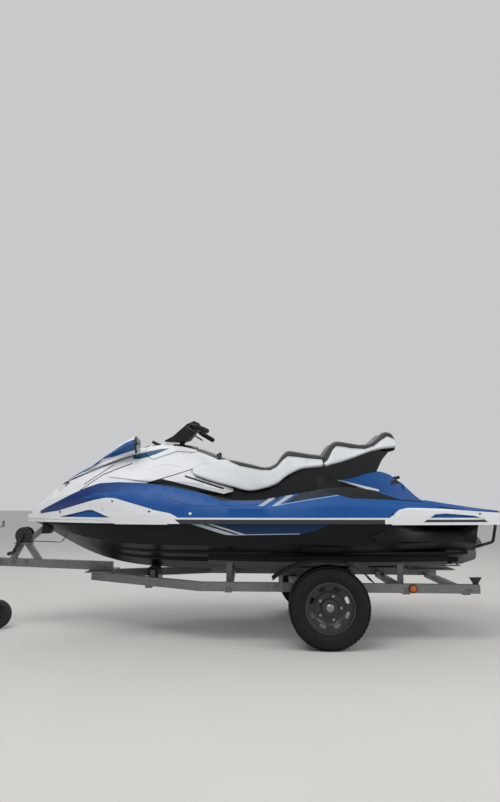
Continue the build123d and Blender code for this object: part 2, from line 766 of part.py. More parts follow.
# Trailer frame
def make_drawbar():
    """The drawbar, deeper towards its rear end, with the plate that ties it to the side rails."""
    bar = plate([(-588, 472), (-588, 528), (674, 484), (674, 425), (560, 425)], 30)
    return bar + block((500, -150, 417), (700, 150, 425))


RAIL_LINE = [(540, 62, 387), (1400, RAIL_Y, 370), (3330, RAIL_Y, 352)]
RAIL_WIDE = 40


def make_rail():
    """A starboard side rail: it splays from the drawbar, then runs straight aft."""
    (front, corner, rear) = RAIL_LINE
    body = beam(front, corner, RAIL_WIDE, FRAME_HEIGHT) + beam(corner, rear, RAIL_WIDE, FRAME_HEIGHT)
    return body + rod((corner[0], corner[1], 340), (corner[0], corner[1], 400), RAIL_WIDE / 2)


drawbar = make_drawbar()
rail = make_rail() - drawbar
keep("drawbar", drawbar)
keep("rail_right", rail)
keep("rail_left", mirror(rail, Plane.XZ))

# Cross members: station, low z, high z, half length
CROSS_ROWS = [
    (1000, 325, 365, 270),
    (1591, 325, 365, 480),
    (2480, 305, 345, 480),
    (2831, 312, 352, 480),
    (3250, 308, 348, 480),
]
both_rails = rail + mirror(rail, Plane.XZ)
crosses = [
    block((u - 25, -half, low), (u + 25, half, high)) - both_rails - drawbar
    for u, low, high, half in CROSS_ROWS
]

# Axle: a rubber torsion beam, its trailing arms and stub axles
AXLE_U = 2110
AXLE_Z = 286
ARM_Y = 586
STUB_R = 17


def make_axle():
    """The axle beam with its two trailing arms, stubs and mounting pads."""
    body = block((AXLE_U - 35, -560, AXLE_Z - 35), (AXLE_U + 35, 560, AXLE_Z + 35))
    arm = beam((AXLE_U, ARM_Y, AXLE_Z), (WHEEL_STATION, ARM_Y, TYRE_R), 24, 56)
    arm += rod((AXLE_U, 556, AXLE_Z), (AXLE_U, 600, AXLE_Z), 38)
    arm += rod((WHEEL_STATION, 572, TYRE_R), (WHEEL_STATION, 604, TYRE_R), 30)
    arm += rod((WHEEL_STATION, 590, TYRE_R), (WHEEL_STATION, 722, TYRE_R), STUB_R)
    pad = block((AXLE_U - 90, 470, AXLE_Z + 35), (AXLE_U + 90, 530, 345))
    return body + arm + mirror(arm, Plane.XZ) + pad + mirror(pad, Plane.XZ) - both_rails


axle = make_axle()
keep("axle", axle)


def wheel_shape(points):
    """A turned shape about the starboard wheel's own axis, from (y, radius) points."""
    face = Plane.YZ * make_face(Polyline(*points, close=True))
    turned = revolve(face, Axis.Y)
    return Pos(WHEEL_STATION, WHEEL_Y, TYRE_R) * turned


def make_tyre():
    """The starboard tyre, rounded at the shoulders."""
    half = TYRE_WIDTH / 2
    points = [
        (-half + 14, RIM_R), (-half + 2, 196), (-half, 222), (-half + 10, 254), (-half + 26, TYRE_R - 2), (-20, TYRE_R),
        (20, TYRE_R), (half - 26, TYRE_R - 2), (half - 10, 254), (half, 222), (half - 2, 196), (half - 14, RIM_R),
    ]
    return wheel_shape(points)


def make_rim():
    """The starboard rim: a dished disc with six openings, a rolled edge and the hub."""
    half = TYRE_WIDTH / 2
    rim = [
        (-half + 10, RIM_R - 8), (-half + 10, RIM_R), (half - 10, RIM_R), (half - 10, RIM_R - 12),
        (34, RIM_R - 14), (30, 110), (20, 96), (20, 60), (44, 54), (44, 20), (-60, 20), (-60, 44), (10, 50),
        (10, 96), (20, 116), (26, RIM_R - 8),
    ]
    body = wheel_shape(rim)
    hole = Pos(WHEEL_STATION, WHEEL_Y + 15, TYRE_R + 78) * Rot(90, 0, 0) * Cylinder(15, 60)
    for turn in range(6):
        body -= hole.rotate(Axis((WHEEL_STATION, 0, TYRE_R), (0, 1, 0)), turn * 60)
    return body - rod((WHEEL_STATION, 500, TYRE_R), (WHEEL_STATION, 760, TYRE_R), STUB_R + PIN_PLAY)


tyre = make_tyre()
rim = make_rim()
keep("tyre_right", tyre)
keep("tyre_left", mirror(tyre, Plane.XZ))
keep("rim_right", rim)
keep("rim_left", mirror(rim, Plane.XZ))

# Mudguards
GUARD_ARCS = [[(1888, 452), (2060, 541), (2262, 557)], [(2262, 557), (2430, 528), (2545, 432)]]
GUARD_THICK = 5
GUARD_INNER = 604
GUARD_OUTER = 800


def make_guard():
    """The starboard mudguard: an arched shell with a skirt on its inner side."""
    arcs = [ThreePointArc(*a) for a in GUARD_ARCS]
    lower = [ThreePointArc(*[(u, z - GUARD_THICK) for u, z in a]) for a in GUARD_ARCS]
    ends = [Line(a[0], b[0]) for a, b in [(GUARD_ARCS[0], [(1888, 447)])]]
    ends.append(Line(GUARD_ARCS[1][2], (2545, 427)))
    face = Plane.XZ * make_face([*arcs, *lower, *ends])
    shell = Pos(0, (GUARD_INNER + GUARD_OUTER) / 2, 0) * extrude(
        face, amount=(GUARD_OUTER - GUARD_INNER) / 2, both=True
    )
    return shell


def make_guard_stays():
    """Two bent bars that carry the starboard mudguard from the side rail."""
    stays = []
    for u, head in ((1950, 483), (2440, 520)):
        foot = block((u - 15, 520, 356), (u + 15, GUARD_INNER - 4, 362))
        rise = block((u - 15, GUARD_INNER - 10, 356), (u + 15, GUARD_INNER - 4, head))
        flange = block((u - 15, GUARD_INNER - 10, head - 6), (u + 15, 612, head))
        stays.append(foot + rise + flange)
    return stays


guard = make_guard()
keep("mudguards", both_sides(guard))
stays = Compound(children=[s for stay in make_guard_stays() for s in (stay - guard - rail).solids()])
keep("mudguard_stays", both_sides(stays))

# Bunks and their posts, keel rollers
BUNK_INNER = 252
BUNK_OUTER = 350
BUNK_DEEP = 46
BUNK_ROWS = [(1440, 440, 515, 643), (1900, 436, 552, 640), (2600, 436, 562, 640), (3170, 436, 551, 643)]


def make_bunk():
    """A starboard bunk, its top on the hull's bottom between two strakes."""
    faces = []
    for station, keel_z, chine_y, chine_z in BUNK_ROWS:
        slope = (chine_z - keel_z) / chine_y
        points = [
            (station, BUNK_INNER, keel_z + slope * BUNK_INNER - 1),
            (station, BUNK_OUTER, keel_z + slope * BUNK_OUTER - 1),
            (station, BUNK_OUTER + 16, keel_z + slope * BUNK_OUTER - BUNK_DEEP),
            (station, BUNK_INNER + 16, keel_z + slope * BUNK_INNER - BUNK_DEEP),
        ]
        faces.append(Face(Wire.make_polygon(points, close=True)))
    return loft(faces, ruled=True)


bunk = make_bunk() - hull
keep("bunks", both_sides(bunk))
for i in (1, 3):
    u, _, top, _ = CROSS_ROWS[i]
    for side in (-1, 1):
        y = side * 310
        post = block((u - 22, y - 5, top - 5), (u + 22, y + 5, top + 200)) - bunk - mirror(bunk, Plane.XZ) - hull
        crosses[i] += [p for p in post.solids() if p.center().Z < top + 90]

ROLLER_ROWS = [(1000, 417, 365), (2480, 397, 345)]
rollers = []
for i, (u, z, top) in zip((0, 2), ROLLER_ROWS):
    face = Plane.YZ * make_face(
        Polyline((-80, 8), (-80, 46), (-60, 46), (-14, 34), (14, 34), (60, 46), (80, 46), (80, 8), close=True)
    )
    rollers.append(Pos(u, 0, z) * revolve(face, Axis.Y))
    crosses[i] += rod((u, -96, z), (u, 96, z), 8)
    for y in (-90, 90):
        crosses[i] += block((u - 18, y - 4, top - 4), (u + 18, y + 4, z + 14))
keep("cross_members", Compound(children=[s for c in crosses for s in c.solids()]))
keep("keel_rollers", Compound(children=rollers))

# Winch, its post and the bow stop
WINCH = (-22, 687)


def make_winch_post():
    """The A-shaped winch post on the drawbar, with the arm of the bow stop."""
    front = beam((-110, 0, 490), (-34, 0, 640), 44, 40)
    rear = beam((112, 0, 480), (-4, 0, 640), 44, 40)
    arm = beam((-6, 0, 630), (128, 0, 742), 40, 36)
    table = block((-80, -50, 620), (36, 50, 630))
    return front + rear + arm + table - drawbar


def make_winch():
    """The winch: its side plates, drum, axle and crank, with the strap wound on the drum."""
    u, z = WINCH
    body = rod((u, -34, z), (u, 34, z), 26) + rod((u, -62, z), (u, 52, z), 9)
    for y in (-38, 38):
        cheek = Pos(u, y, z) * Rot(90, 0, 0) * Cylinder(62, 5)
        cheek += block((u - 50, y - 2.5, 630), (u + 50, y + 2.5, z))
        body += cheek
    crank = beam((u, -62, z), (u - 60, -62, z - 130), 8, 24) + rod((u - 60, -58, z - 130), (u - 60, -150, z - 130), 14)
    return body + crank


post = make_winch_post()
winch = make_winch() - post
stop = plate([(118, 700), (176, 700), (240, 790), (130, 800)], 42) - hull - OUTER - bow_bumper - rub_rail - post
EYE_TIP = (266, 634)


def make_strap():
    """The winch strap: the turns on the drum and the flat run to the hook at the bow eye."""
    u, z = WINCH
    wound = rod((u, -25, z), (u, 25, z), 46) - rod((u, -40, z), (u, 40, z), 26)
    run = beam((u + 6, 0, z - 44), (228, 0, 634), 50, 3)
    return wound + run


strap = make_strap() - winch - post - stop
hook = beam((220, 0, 634.6), (262, 0, 632.5), 26, 10) - bow_eye - strap - hull
keep("winch_post", post - winch)
keep("winch", winch)
keep("winch_strap", strap)
keep("strap_hook", hook)
keep("bow_stop", stop)

# Coupling head
COUPLER_Z = 500
BALL_R = 25


def make_coupler():
    """The coupling head: a housing over the tow ball's socket, its neck and its handle."""
    u = COUPLER_STATION + 42
    body = Pos(u, 0, COUPLER_Z + 4) * Sphere(42)
    body += block((u, -34, COUPLER_Z - 16), (-560, 34, COUPLER_Z + 36))
    body -= block((u - 60, -60, COUPLER_Z - 80), (u + 60, 60, COUPLER_Z - 18))
    body -= Pos(u, 0, COUPLER_Z) * Sphere(BALL_R)
    body -= rod((u, 0, COUPLER_Z - 60), (u, 0, COUPLER_Z), BALL_R - 1)
    lever = beam((u + 10, 0, COUPLER_Z + 40), (u + 130, 0, COUPLER_Z + 72), 30, 10)
    return body + lever + block((u - 8, -15, COUPLER_Z + 30), (u + 30, 15, COUPLER_Z + 48))


keep("coupling_head", make_coupler() - drawbar)

# Jockey wheel, clamped beside the drawbar
JOCKEY_Y = -66
TUBE_R = 25
LEG_R = 20
LEG_PLAY = 0.08
SWIVEL_Z = 236
SWIVEL_PIN = 12
TUBE_FOOT = 376


def make_jockey_tube():
    """The outer tube with its clamp, top cap and crank."""
    u, y = JOCKEY_STATION, JOCKEY_Y
    body = rod((u, y, TUBE_FOOT), (u, y, 735), TUBE_R) - rod((u, y, 300), (u, y, 725), LEG_R + LEG_PLAY)
    body += block((u - 32, y + 20, 460), (u + 32, -30, 520)) - rod((u, y, 440), (u, y, 540), TUBE_R - 1)
    body += rod((u, y, 730), (u, y, 752), 9)
    body += beam((u, y, 748), (u + 62, y, 756), 14, 8) + rod((u + 58, y, 752), (u + 58, y, 800), 9)
    return body - drawbar


def make_jockey_leg():
    """The inner leg that the screw drives up and down."""
    u, y = JOCKEY_STATION, JOCKEY_Y
    way = rod((u, y, SWIVEL_Z - 5), (u, y, SWIVEL_Z + SWIVEL_PIN + 2), 9 + PIN_PLAY)
    return rod((u, y, SWIVEL_Z), (u, y, 560), LEG_R) - way


def make_jockey_fork():
    """The swivelling fork with the wheel's pin, trailing behind the leg."""
    u, y = JOCKEY_STATION, JOCKEY_Y
    axle_u = u + JOCKEY_TRAIL
    body = rod((u, y, SWIVEL_Z - 14), (u, y, SWIVEL_Z + SWIVEL_PIN), 9)
    body += block((u - 26, y - 42, SWIVEL_Z - 14), (u + 40, y + 42, SWIVEL_Z - 6))
    for side in (-1, 1):
        cheek = Plane.XZ * make_face(
            Polyline((u - 26, SWIVEL_Z - 6), (u + 40, SWIVEL_Z - 6), (axle_u + 16, JOCKEY_R - 14), (axle_u - 16, JOCKEY_R - 14), close=True)
        )
        body += Pos(0, y + side * 39, 0) * extrude(cheek, amount=3, both=True)
    return body + rod((axle_u, y - 46, JOCKEY_R), (axle_u, y + 46, JOCKEY_R), 8)


def make_jockey_wheel():
    """The jockey wheel with its rounded tread and bore."""
    half = 29
    points = [
        (-half, 8 + PIN_PLAY), (-half, 30), (-12, 36), (-12, 66), (-half + 2, 72), (-half, 90), (-half + 8, 102), (-8, JOCKEY_R),
        (8, JOCKEY_R), (half - 8, 102), (half, 90), (half - 2, 72), (12, 66), (12, 36), (half, 30), (half, 8 + PIN_PLAY),
    ]
    face = Plane.YZ * make_face(Polyline(*points, close=True))
    return Pos(JOCKEY_STATION + JOCKEY_TRAIL, JOCKEY_Y, JOCKEY_R) * revolve(face, Axis.Y)


keep("jockey_tube", make_jockey_tube())
keep("jockey_leg", make_jockey_leg())
keep("jockey_fork", make_jockey_fork())
keep("jockey_wheel", make_jockey_wheel())

# Lamps and light-board brackets
lamp = block((2840, 520, 338), (2900, 538, 368)) - rail
bracket = plate([(3262, 430), (3350, 430), (3318, 378), (3294, 378)], 4)
bracket = (Pos(0, RAIL_Y, 0) * bracket + block((3290, RAIL_Y - 14, 372), (3322, RAIL_Y + 14, 392))) - rail
keep("marker_lamps", both_sides(lamp))
keep("light_brackets", both_sides(bracket))

# Files
os.makedirs("parts", exist_ok=True)
for name, shape in parts.items():
    export_step(shape, f"parts/{name}.step")
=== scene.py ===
"""Finishes, seats and small fittings for a three-seat watercraft that rests on its road trailer.

Metres, +X aft, +Y to starboard, +Z up. A station is a distance aft of the tip of the bow, and BOW
is where that tip lies along X.
"""

import math
import bmesh
import bpy
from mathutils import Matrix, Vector


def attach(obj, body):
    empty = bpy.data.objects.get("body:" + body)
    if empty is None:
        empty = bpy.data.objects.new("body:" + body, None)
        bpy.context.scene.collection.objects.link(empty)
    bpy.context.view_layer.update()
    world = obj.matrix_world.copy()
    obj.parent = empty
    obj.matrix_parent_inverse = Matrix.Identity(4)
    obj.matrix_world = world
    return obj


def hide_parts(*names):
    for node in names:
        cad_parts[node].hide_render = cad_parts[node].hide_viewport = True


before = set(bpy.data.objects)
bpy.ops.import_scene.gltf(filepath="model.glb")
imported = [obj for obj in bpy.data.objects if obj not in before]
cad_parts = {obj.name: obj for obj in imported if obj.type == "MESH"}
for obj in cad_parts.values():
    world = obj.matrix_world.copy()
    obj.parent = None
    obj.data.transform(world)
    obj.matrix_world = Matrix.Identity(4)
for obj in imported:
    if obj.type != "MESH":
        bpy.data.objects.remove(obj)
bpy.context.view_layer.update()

bl_info = {
    "name": "Watercraft Finishes",
    "version": (1, 0, 0),
    "blender": (4, 5, 0),
    "location": "View3D > Sidebar > Watercraft",
    "description": "Gelcoat, seats, tread and small fittings for a watercraft on its trailer",
    "category": "Object",
}

BOW = -1.46
SIDES = ((-1, "left"), (1, "right"))


def paint(code):
    """The linear colour of a paint chip written as an sRGB hex code."""
    channels = [int(code[i : i + 2], 16) / 255 for i in (1, 3, 5)]
    return tuple(c / 12.92 if c <= 0.04045 else ((c + 0.055) / 1.055) ** 2.4 for c in channels)


# Settings


def colour_setting(label, what, code):
    """A colour that a user can change in the panel."""
    return bpy.props.FloatVectorProperty(
        name=label, description=what, subtype="COLOR", size=3, min=0, max=1, default=paint(code)
    )


def length_setting(label, what, metres):
    """A length that a user can change in the panel."""
    return bpy.props.FloatProperty(name=label, description=what, unit="LENGTH", default=metres)


class CraftColours(bpy.types.PropertyGroup):
    """The colours of the watercraft."""

    blue: colour_setting("Blue", "Gelcoat of the deck", "#064B8E")
    navy: colour_setting("Navy", "Darker band over the bow", "#0A2A66")
    white: colour_setting("White", "Gelcoat of the cowl and the bumpers", "#D9DBDD")
    silver: colour_setting("Silver", "Slanted stripes of the sides", "#9FA7AF")
    teal: colour_setting("Teal", "Dark wedge beside the cowl", "#0F4C73")
    black: colour_setting("Hull black", "Gelcoat of the hull", "#08090B")
    trim: colour_setting("Trim black", "Moulded plastic of the seat base and controls", "#0F1113")
    seat: colour_setting("Seat white", "Vinyl of the seats' sides", "#CDD1D4")
    seat_top: colour_setting("Seat black", "Vinyl of the seats' tops", "#141618")


class TrailerColours(bpy.types.PropertyGroup):
    """The colours of the trailer."""

    zinc: colour_setting("Zinc", "Galvanised steel", "#777A7A")
    rubber: colour_setting("Rubber", "Tyres, rollers and the bow stop", "#121212")
    rim: colour_setting("Rim", "Painted wheel rims", "#26282A")
    carpet: colour_setting("Carpet", "Covering of the bunks", "#1B1C1E")
    amber: colour_setting("Amber", "Side marker lenses", "#D0661A")


class FittingSizes(bpy.types.PropertyGroup):
    """Sizes of the seams, screws and tread."""

    piping: length_setting("Piping", "Radius of the piping along the seats", 0.0035)
    screw: length_setting("Screw", "Radius of a bumper screw's head", 0.0065)
    tread: length_setting("Tread", "Depth of the tyres' grooves", 0.006)


class StageSettings(bpy.types.PropertyGroup):
    """The studio round the watercraft."""

    floor: colour_setting("Floor", "Colour of the floor", "#C9C7C3")
    camera_height: length_setting("Camera height", "Height of the lens over the floor", 0.98)
    camera_distance: length_setting("Camera distance", "From the centre plane to the lens", 4.8095)
    camera_station: length_setting("Camera station", "Station that the lens faces", 1.7413)
    pitch: bpy.props.FloatProperty(
        name="Pitch", description="How far the camera looks up", subtype="ANGLE", default=math.radians(9.1)
    )
    lens: bpy.props.FloatProperty(name="Lens", description="Focal length in millimetres", default=26.93)


def colours():
    """The colours of the watercraft, as set in the panel."""
    return bpy.context.scene.craft_colours


def metal_colours():
    """The colours of the trailer, as set in the panel."""
    return bpy.context.scene.trailer_colours


def sizes():
    """The sizes of the fittings, as set in the panel."""
    return bpy.context.scene.fitting_sizes


# Materials

LEAST_RISE = 1e-6


def feed(tree, value, socket):
    """Link an output to a socket, or set the socket to a plain value; None leaves it alone."""
    if isinstance(value, bpy.types.NodeSocket):
        tree.links.new(value, socket)
    elif value is not None:
        socket.default_value = value


def add_node(tree, kind, inputs, settings):
    """A node, its settings made and its inputs set or linked."""
    node = tree.nodes.new(kind)
    for key, value in settings.items():
        setattr(node, key, value)
    for key, value in inputs.items():
        feed(tree, value, node.inputs[key])
    return node


class Finish:
    """A material in the making: one shader, with the nodes that colour it."""

    def __init__(self, name, colour, roughness, **sockets):
        self.material = bpy.data.materials.new(name)
        self.material.use_nodes = True
        self.tree = self.material.node_tree
        self.shader = self.tree.nodes["Principled BSDF"]
        self.colour = (*colour, 1)
        self.roughness = roughness
        self.normal = None
        for socket, value in sockets.items():
            label = socket.replace("_", " ").title().replace("Ior", "IOR")
            self.shader.inputs[label].default_value = value
        self.object = self.add("TexCoord").outputs["Object"]
        split = self.add("SeparateXYZ", {0: self.object})
        self.x, self.y, self.height = split.outputs
        self.station = self.math("SUBTRACT", self.x, BOW)
        self.breadth = self.math("ABSOLUTE", self.y)

    def add(self, kind, inputs=None, **settings):
        """A shader node."""
        return add_node(self.tree, "ShaderNode" + kind, inputs or {}, settings)

    def math(self, operation, a, b=None, c=None):
        """One sum, product or comparison."""
        return self.add("Math", {0: a, 1: b, 2: c}, operation=operation).outputs[0]

    def more(self, a, b):
        """A mask where the one is more than the other."""
        return self.math("GREATER_THAN", a, b)

    def less(self, a, b):
        """A mask where the one is less than the other."""
        return self.math("LESS_THAN", a, b)

    def wave(self, value, count):
        """A wave that runs between 0 and 1, that many times up or down in each unit of the value."""
        return self.math("PINGPONG", self.math("MULTIPLY", value, count), 1.0)

    def reach(self, a, b):
        """The length of the hypotenuse over two sides."""
        return self.math("SQRT", self.math("ADD", self.times(a, a), self.times(b, b)))

    def times(self, *masks):
        """The product of several masks."""
        product = masks[0]
        for mask in masks[1:]:
            product = self.math("MULTIPLY", product, mask)
        return product

    def spread(self, value, low, high, start=0.0, end=1.0):
        """The value stretched from low..high to start..end, and held there beyond."""
        return self.add("MapRange", {0: value, 1: low, 2: high, 3: start, 4: end}).outputs[0]

    def line(self, points, smooth=False):
        """The height at each station of a painted line through (station, height) points."""
        stations = [p[0] for p in points]
        heights = [p[1] for p in points]
        first, last, low = stations[0], stations[-1], min(heights)
        rise = max(max(heights) - low, LEAST_RISE)
        node = self.add("FloatCurve", {1: self.spread(self.station, first, last)})
        curve = node.mapping.curves[0]
        for point, (station, height) in zip(curve.points, (points[0], points[-1])):
            point.location = (0 if station == first else 1, (height - low) / rise)
        for station, height in points[1:-1]:
            curve.points.new((station - first) / (last - first), (height - low) / rise)
        for point in curve.points:
            point.handle_type = "AUTO" if smooth else "VECTOR"
        node.mapping.update()
        return self.math("MULTIPLY_ADD", node.outputs[0], rise, low)

    def above(self, points, smooth=False):
        """A mask over all that lies above a line."""
        return self.more(self.height, self.line(points, smooth))

    def below(self, points, smooth=False):
        """A mask over all that lies below a line."""
        return self.less(self.height, self.line(points, smooth))

    def within(self, first, last):
        """A mask between two stations."""
        ahead = self.less(self.station, last)
        return self.times(ahead, self.more(self.station, first))

    def area(self, upper, lower):
        """A mask between two lines, from the first station of the upper one to its last."""
        return self.times(self.below(upper), self.above(lower), self.within(upper[0][0], upper[-1][0]))

    def slanted(self, slope, first, last, rising=1):
        """A mask between two lines that lean aft by that much for each metre up, or down with -1."""
        lean = self.math("MULTIPLY_ADD", self.height, slope * rising, self.station)
        return self.times(self.more(lean, first), self.less(lean, last))

    def stroke(self, points, width):
        """A mask along a line, that wide."""
        upper = [(s, h + width / 2) for s, h in points]
        lower = [(s, h - width / 2) for s, h in points]
        return self.area(upper, lower)

    def noise(self, scale, detail=2.0, stretch=(1, 1, 1)):
        """Cloudy variation, from 0 to 1."""
        place = self.add("Mapping", {0: self.object, 3: stretch}).outputs[0]
        return self.add("TexNoise", {0: place, 2: scale, 3: detail}).outputs[0]

    def cells(self, scale):
        """The distance to the nearest of many scattered points."""
        return self.add("TexVoronoi", {0: self.object, 2: scale}).outputs[0]

    def tint(self, mask, colour):
        """Paint a colour over what is there, where the mask is."""
        node = self.add("Mix", {0: mask, 6: self.colour, 7: (*colour, 1)}, data_type="RGBA")
        self.colour = node.outputs[2]

    def patches(self, scale, detail, edges, amount, code):
        """Cloudy patches of dirt or wear, with soft edges where the noise passes the two values."""
        self.tint(self.times(self.spread(self.noise(scale, detail), *edges), amount), paint(code))

    def vary(self, value, amount):
        """Lighten and darken the colour by that much of itself."""
        factor = self.spread(value, 0.0, 1.0, 1 - amount, 1 + amount)
        node = self.add("HueSaturation", {2: factor, 4: self.colour})
        self.colour = node.outputs[0]

    def roughen(self, mask, roughness):
        """Change the roughness where the mask is."""
        self.roughness = self.add("Mix", {0: mask, 2: self.roughness, 3: roughness}).outputs[0]

    def bump(self, height, distance, strength=1.0):
        """Raise the surface by that distance where the height is 1."""
        node = self.add("Bump", {0: strength, 1: distance, "Height": height, "Normal": self.normal})
        self.normal = node.outputs[0]

    def done(self):
        """Join the chains to the shader and give the material."""
        chains = {"Base Color": self.colour, "Roughness": self.roughness, "Normal": self.normal}
        for label, value in chains.items():
            feed(self.tree, value, self.shader.inputs[label])
        return self.material


def dress(material, *nodes):
    """Give a material to CAD nodes, through their slots."""
    for node in nodes:
        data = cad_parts[node].data
        if not data.materials:
            data.materials.append(material)
        for i in range(len(data.materials)):
            data.materials[i] = material


# The painted lines of the sides, each through (station, height) points, and strokes with their breadths
NAVY_UPPER = [
    (0.12, 0.872), (0.213, 0.913), (0.407, 0.998), (0.529, 1.048),
    (0.634, 1.081), (0.775, 1.089), (0.986, 1.081),
]
NAVY_LOWER = [(0.12, 0.862), (0.30, 0.914), (0.60, 1.005), (0.90, 1.030), (1.20, 1.000)]
HOOD_STRIPE = [
    (0.270, 1.085), (0.303, 1.100), (0.398, 1.141), (0.491, 1.182), (0.641, 1.262), (0.930, 1.395),
]
HOOD_GROOVE = [
    (0.281, 1.085), (0.404, 1.120), (0.505, 1.157), (0.593, 1.190),
    (0.685, 1.227), (0.782, 1.261), (0.874, 1.302),
]
BOW_CREASES = [[(0.462, 1.014), (0.648, 1.145), (0.863, 1.229)], [(0.507, 1.074), (0.718, 1.217)]]
SEAM = [(0.986, 1.081), (1.148, 1.133), (1.299, 1.187), (1.455, 1.249), (1.660, 1.262)]
STRIP_UPPER = [(0.986, 1.083), (1.096, 1.112), (1.545, 1.004), (1.640, 1.030), (1.850, 1.060)]
STRIP_LOWER = [(0.986, 1.079), (1.189, 1.052), (1.411, 1.003), (1.543, 0.954), (1.850, 0.954)]
KNEE_SLOT = [(1.255, 1.135), (1.545, 1.042)]
KNEE_EDGE = [(1.300, 1.176), (1.349, 1.133), (1.443, 1.102), (1.532, 1.075), (1.622, 1.050)]
# The console's dark seam, and strokes of painted shade in the knee panel's slot and along its edge
CONSOLE_SEAM_AND_SLOT_SHADE = ((SEAM, 0.007), (KNEE_SLOT, 0.014), (KNEE_EDGE, 0.007))
TEAL_UPPER = [
    (0.860, 1.285), (0.897, 1.305), (0.970, 1.325), (1.020, 1.336), (1.100, 1.357), (1.165, 1.373),
]
TEAL_LOWER = [
    (0.860, 1.262), (0.910, 1.262), (0.970, 1.278), (1.024, 1.298), (1.090, 1.330), (1.165, 1.368),
]
CREASE = [(1.154, 0.970), (1.309, 0.928), (1.418, 0.919), (1.674, 0.919), (1.800, 0.930)]
CONSOLE_CREASE = [(0.978, 1.181), (1.041, 1.205), (1.106, 1.222), (1.161, 1.218), (1.219, 1.201)]
BUMPER_TOP = [
    (0.100, 0.850), (0.310, 0.880), (0.417, 0.909), (0.606, 0.959), (0.700, 0.976), (0.771, 0.972),
    (1.047, 0.896), (1.181, 0.870), (1.226, 0.846), (1.264, 0.786),
]
BUMPER_FOOT = [(0.606, 0.930), (0.720, 0.900), (0.900, 0.850), (1.000, 0.790), (1.264, 0.782)]
BUMPER_TIP = 1.262
TIP_SLOPE = 1.3
STERN_TOP = [(2.652, 0.786), (2.668, 0.804), (2.775, 0.893), (2.830, 0.905), (2.900, 0.906)]
STERN_FOOT = [(2.652, 0.780), (2.900, 0.780)]
FAIRING_UPPER = [(2.400, 1.113), (2.470, 1.092), (2.706, 1.036)]
FAIRING_LOWER = [(2.400, 1.105), (2.620, 1.028), (2.706, 1.022)]
SWEEP_UPPER = [
    (2.180, 1.220), (2.385, 1.220), (2.405, 1.104), (2.620, 1.028),
    (2.690, 1.000), (2.805, 0.964), (2.960, 0.953),
]
SWEEP_LOWER = [
    (2.180, 1.060), (2.240, 1.044), (2.279, 1.016), (2.374, 0.991),
    (2.455, 0.970), (2.653, 0.965), (2.960, 0.944),
]
TRIANGLE_FOOT = [(1.920, 0.921), (1.979, 0.932), (2.162, 0.963), (2.367, 0.994), (2.420, 1.000)]
TRIANGLE_ROOF = [(1.920, 1.100), (2.420, 1.100)]
SIDE_SLOPE = 1.58
TRIANGLE_START = 0.506
SIDE_STRIPES = [(0.345, 0.385), (0.440, 0.480)]
TAIL_SLOT = [(3.066, 0.911), (3.144, 0.900), (3.236, 0.889)]
HANDLE_PAD = [(2.800, 1.084), (2.950, 1.118)]
# Painted shade in the tail's slot above the stern bumper, and the black pad of the grab handle, with their
# breadths
TAIL_SLOT_SHADE_AND_PAD = ((TAIL_SLOT, 0.012), (HANDLE_PAD, 0.034))
PINSTRIPE = 0.832
PANEL_FOOT = [
    (1.300, 0.795), (1.359, 0.747), (1.464, 0.727), (1.638, 0.721),
    (2.085, 0.729), (2.189, 0.750), (2.292, 0.792),
]
PANEL_HEAD = [(1.300, 0.850), (2.292, 0.850)]
PANEL_LINE = [(1.575, 0.724), (1.638, 0.722), (2.085, 0.730)]
PANEL_SLOPE = 3.33
PANEL_START = 4.150
PANEL_STRIPES = [(3.974, 4.050), (4.084, 4.128)]
STRIPE_ROOF = [(1.60, 0.990), (2.00, 1.040), (2.20, 1.080)]
BUMPER_STEP = [(0.10, 0.789), (1.20, 0.789)]
MIRROR_TOP = [(0.460, 1.190), (0.640, 1.276), (0.720, 1.318), (0.820, 1.378), (0.910, 1.410)]
MIRROR_LOW = [
    (0.460, 1.163), (0.600, 1.230), (0.640, 1.262), (0.720, 1.275), (0.820, 1.305), (0.910, 1.330),
]

# Where the painted zones begin and end: stations, heights and half breadths. FORE and FAR lie beyond
# the part
FORE = -0.1
FAR = 9
CONSOLE = (0.986, 1.640)
KNEE_START = 0.99
NAVY_ENDS = (0.05, 1.10)
NAVY_FADE = (1.05, 0.55)
HOOD_TOP = (0.270, 0.930)
HOOD_HALF = 0.30
BOW_TIP = 0.121
TEAL_HALF = 0.20
TEAL_DARK = (1.10, 1.17)
BASE_ENDS = (1.635, 1.95)
BASE_HEIGHTS = (0.962, 1.12)
CROWN_ENDS = (1.14, 1.72)
CROWN_HALF = 0.125
CROWN_FOOT = 1.20
STRIPE_FOOT = 0.918
STRIPE_HALF = 0.25
MIRROR_REAR = 0.888
RAIL_FOOT = 0.79
RAIL_WHITE = (2.670, 2.800)
INSERT_HALF = 0.006
LOW_HULL = (0.56, 0.46)
NOSE_ENDS = (1.20, 1.66)
NOSE_HALF = 0.16
NOSE_FOOT = 1.15
OVERLAP_ENDS = (0.140, 0.700)

# The gauge: its middle and tilt, and the two dials on its face
GAUGE_STATION = 1.000
GAUGE_Z = 1.398
GAUGE_TILT = math.radians(24)
DIAL_OFFSET = 0.040
DIAL_MARKS = 16
DIAL_RING = (0.019, 0.023)
DIAL_RIM = (0.0245, 0.0262)
MARK_SHARE = 0.35


def bow_white(finish):
    """Paint all that lies above the band over the bow white, back to the console."""
    finish.tint(finish.times(finish.above(NAVY_UPPER), finish.within(FORE, CONSOLE[0])), colours().white)


def bow_band(finish):
    """Paint the band over the bow, blue that darkens towards the tip, below the white upper deck."""
    band = finish.times(finish.below(NAVY_UPPER, True), finish.within(*NAVY_ENDS), finish.above(NAVY_LOWER))
    finish.tint(finish.times(band, finish.spread(finish.station, *NAVY_FADE)), colours().navy)
    bow_white(finish)


